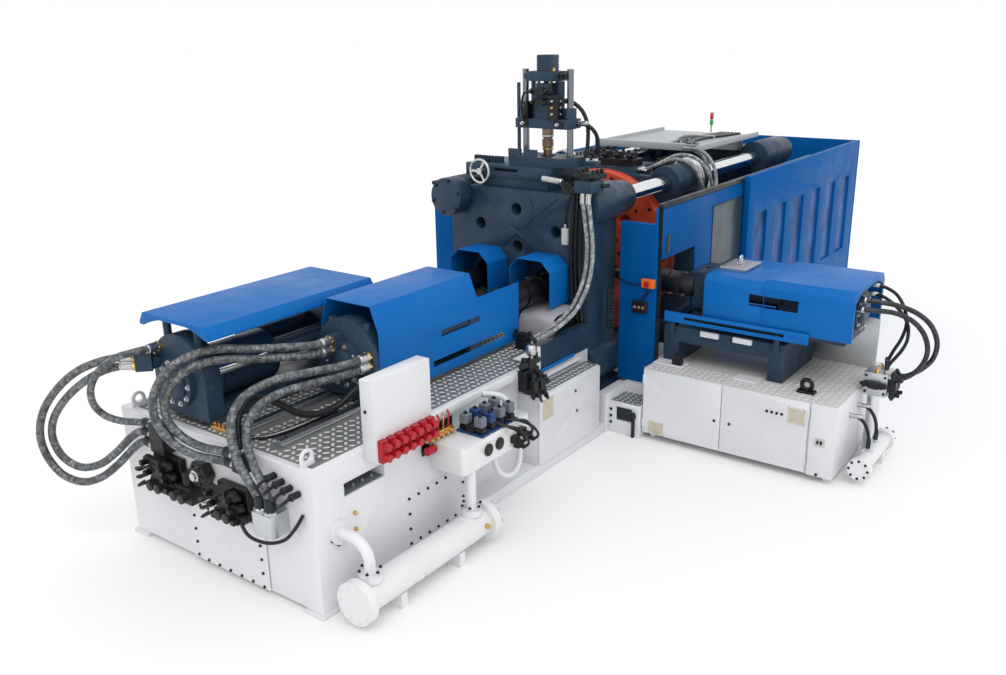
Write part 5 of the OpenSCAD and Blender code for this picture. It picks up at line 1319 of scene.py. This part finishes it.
def moving_platen_top():
    """The valve manifolds and bent pipes on the moving platen, alike on both sides."""
    part = fittings("moving_platen_fittings", "moving_platen")
    part.box(1.26, 1.48, -0.31, 0.31, 2.318, 2.4, BLACK, 0.006)
    for k in range(4):
        spool_valve(part, (1.37, -0.23 + 0.155 * k, 2.4), TO_CLAMP, TOP)
    bend = [(0.635, 2.3), (0.68, 2.35), (0.77, 2.405), (0.88, 2.37), (0.955, 2.25), (0.965, 2.1),
            (0.93, 1.99), (0.84, 1.95)]
    for s in (-1, 1):
        part.box(1.48, 1.74, *sorted((s * 0.43, s * 0.64)), 2.248, 2.33, BLACK, 0.006)
        for k in range(3):
            spool_valve(part, (1.53 + 0.08 * k, s * 0.53, 2.33), FAR, TOP, 0.7)
            part.tube([(1.54 + 0.055 * k, s * y, z) for y, z in bend], 0.016, STEEL, 5, 10)
    part.done()


def clamp_top():
    moving_platen_top()
    table = [p for r, count in ((0.84, 28), (0.7, 24), (0.3, 12))
             for p in ring((TABLE_X, 0, AXIS_Z), r, count, TO_BED)]
    bolts("table_screws", table, "rotary_table", head=FLAT_HEAD)
    lamp = Part("lamp_lenses", "frame", LAMP_RED, GREEN, PALE)
    for z0, z1, finish in ((2.36, 2.43, GREEN), (2.44, 2.53, LAMP_RED), (2.43, 2.44, PALE)):
        r, h = 0.0262 if finish is PALE else 0.0278, z1 - z0
        lens = [(0, r * 0.94), (0.004, r), (h - 0.004, r), (h, r * 0.94)]
        lamp.turned((LAMP_X, TIE_Y, z0), TOP, lens, finish)
    lamp.done()
    tray, cable_z = fittings("gantry_fittings"), 2.454
    for k in range(2):
        y = -0.64 + 0.08 * k
        tray.box(2.1, 2.14, y - 0.03, y + 0.03, 2.5, 2.512, DARK_IRON)
    for k in range(6):
        y, sway = -0.5 + 0.05 * k, 0.02 * (k % 3)
        wire(tray, [(2.155, y, 2.455), (2.4, y + 0.04 + sway, cable_z), (2.7, y + 0.16 - sway, cable_z),
                    (3.05, y + 0.2 + sway, cable_z), (3.45, y + 0.12 - sway, cable_z),
                    (3.85, y + 0.05, cable_z)],
             0.014, COIL_GREY if k % 2 else RUBBER)
    for x, y in ((2.3, -0.52), (3.25, -0.36)):
        tray.box(x, x + 0.04, y, y + 0.42, 2.438, 2.474, STEEL, 0.003)
    tray.done()


# Side unit

def side_doors(x):
    vent("left_door_vent", "side_door_left", (x, -1.5675, 0.139), TO_BED, 0.15, 0.13)
    vent("right_door_vent", "side_door_right", (x, -2.8975, 0.575), TO_BED, 0.15, 0.14)
    left = fittings("left_door_fittings", "side_door_left")
    turn_lock(left, (x, -2.149, 0.358), TO_BED)
    left.done()
    right = fittings("right_door_fittings", "side_door_right")
    turn_lock(right, (x, -2.295, 0.359), TO_BED)
    button = [(0, 0.013), (0.004, 0.013), (0.005, 0.009), (0.012, 0.008)]
    for k in range(4):
        right.turned((x, -2.634 - 0.0447 * k, 0.566), TO_BED, button, BLACK, 14)
    right.done()


def side_cabinet_fittings():
    x, z = SIDE_FACE - 0.001, SIDE_DECK_Z
    side_doors(x)
    part = fittings("side_cabinet_fittings")
    part.box(x - 0.006, x + 0.004, -3.16, -3.07, 0.345, 0.42, PALE, 0.003)
    for k in range(2):
        part.box(x - 0.014, x - 0.004, -3.108 - 0.03 * k, -3.09 - 0.03 * k, 0.37, 0.4, BLACK, 0.002)
    turn_lock(part, (x, -3.109, 0.08), TO_BED)
    for y0, y1 in ((-1.74, -1.44), (-2.46, -2.24)):
        part.box(-0.33, -0.186, y0, y1, z, z + 0.02, WHITE)
    part.box(-0.31, -0.25, -1.72, -1.62, z + 0.02, z + 0.075, BLACK, 0.01)
    part.rod((-0.28, -1.67, z + 0.07), (-0.28, -1.67, z + 0.12), 0.03, BLACK)
    lifting_eye(part, (-0.27, -2.9, z), FAR, 0.06, BLACK)
    lifting_eye(part, (0.79, -1.52, z), FAR, 0.06, BLACK)
    for y in (-1.94, -2.26):
        part.box(-0.215, -0.184, y - 0.09, y + 0.09, 1.04, 1.09, WHITE)
    for k in range(4):
        hex_plug(part, (0.14 + 0.05 * k, -3.37, 0.89), TOP, 0.022, STEEL if k % 2 else BRASS)
    spool_valve(part, (0.16, -3.47, 0.78), TOP, NEAR)
    spool_valve(part, (0.26, -3.47, 0.78), TOP, NEAR)
    spool_valve(part, (0.105, -3.37, 0.79), NEAR, TO_BED, 0.9)
    part.done()
    bolts("side_manifold_bolts", [p for y in (-3.29, -3.45)
                                  for p in row((0.104, y, 0.71), (0.104, y, 0.86), 3, TO_BED)])
    cooler = ring((SIDE_COOLER_X0, SIDE_COOLER_Y, SIDE_COOLER_Z), 0.08, 8, TO_BED)
    cooler += ring((SIDE_COOLER_X1, SIDE_COOLER_Y, SIDE_COOLER_Z), 0.08, 8, TO_CLAMP)
    bolts("side_cooler_bolts", cooler, head=SMALL_HEAD)
    plate, top_z = fittings("side_feed_plate", "side_unit"), 1.675
    plate.box(0.03, 0.41, -2.16, -1.9, 1.634, 1.668, STEEL)
    plate.box(0.08, 0.36, -2.12, -1.94, 1.668, top_z, STEEL, 0.002)
    lifting_eye(plate, (0.22, -2.03, top_z), TO_CLAMP, 0.035, STEEL)
    plate.done()


# Injection units

def unit_fittings():
    rod_z = AXIS_Z + 0.07
    for side, x, y, rear in (("left", LEFT_X, UNIT_Y, -1.6), ("right", RIGHT_X, -UNIT_Y, -1.3)):
        body = side + "_unit"
        part = Part(body + "_rods", body, CHROME, BLACK, DARK_IRON)
        for s in (-1, 1):
            rod_y = y + s * 0.21
            part.rod((x + rear + 0.1, rod_y, rod_z), (x + rear * 0.56, rod_y, rod_z), 0.0392, CHROME)
        for k in range(4):
            at = x + 0.62 + 0.26 * k
            part.box(at - 0.03, at + 0.03, y - 0.025, y + 0.025, AXIS_Z + 0.115, AXIS_Z + 0.145, DARK_IRON)
            part.rod((at, y - 0.02, AXIS_Z + 0.135), (at, y - 0.06, AXIS_Z + 0.13), 0.009, BLACK, 8)
        part.done()
        heads = ring((x + rear - 0.045, y, AXIS_Z), FLANGE_R, 10, TO_BED)
        bolts(body + "_flange_bolts", heads, body, STEEL, FLANGE_HEAD)
    heads = ring((SIDE_X, -3.175, AXIS_Z), FLANGE_R, 10, NEAR)
    bolts("side_unit_flange_bolts", heads, "side_unit", STEEL, FLANGE_HEAD)


# Floor and light

def studio():
    half = 60
    mesh = bpy.data.meshes.new("floor")
    corners = [(-half, -half, 0), (half, -half, 0), (half, half, 0), (-half, half, 0)]
    mesh.from_pydata(corners, [], [(0, 1, 2, 3)])
    floor = bpy.data.objects.new("floor", mesh)
    scene.collection.objects.link(floor)
    finish, tree, shader = finish_nodes("pale_floor", 0.7)
    coloured(tree, shader, mixed(tree, noise(tree, 0.4, 2), (0.9, 0.9, 0.9), (0.94, 0.94, 0.94)))
    mesh.materials.append(finish)
    world = bpy.data.worlds.new("studio")
    world.use_nodes = True
    world.node_tree.nodes["Background"].inputs["Color"].default_value = (1, 1, 1, 1)
    world.node_tree.nodes["Background"].inputs["Strength"].default_value = 1.0
    scene.world = world
    data = bpy.data.lights.new("key", "SUN")
    data.energy = 0.8
    data.angle = math.radians(40)
    light = bpy.data.objects.new("key", data)
    light.rotation_euler = Vector((0.55, 0.6, -1.1)).to_track_quat("-Z", "Y").to_euler()
    scene.collection.objects.link(light)
    scene.view_settings.view_transform = "Standard"


look()
all_hoses()
dress_solids()
tread_plates()
bed_end()
bed_side()
deck_fittings()
filter_fittings()
valve_tower()
electrical_box()
steps()
guard_post()
platen_fittings()
vertical_fittings()
clamp_top()
side_cabinet_fittings()
unit_fittings()
studio()
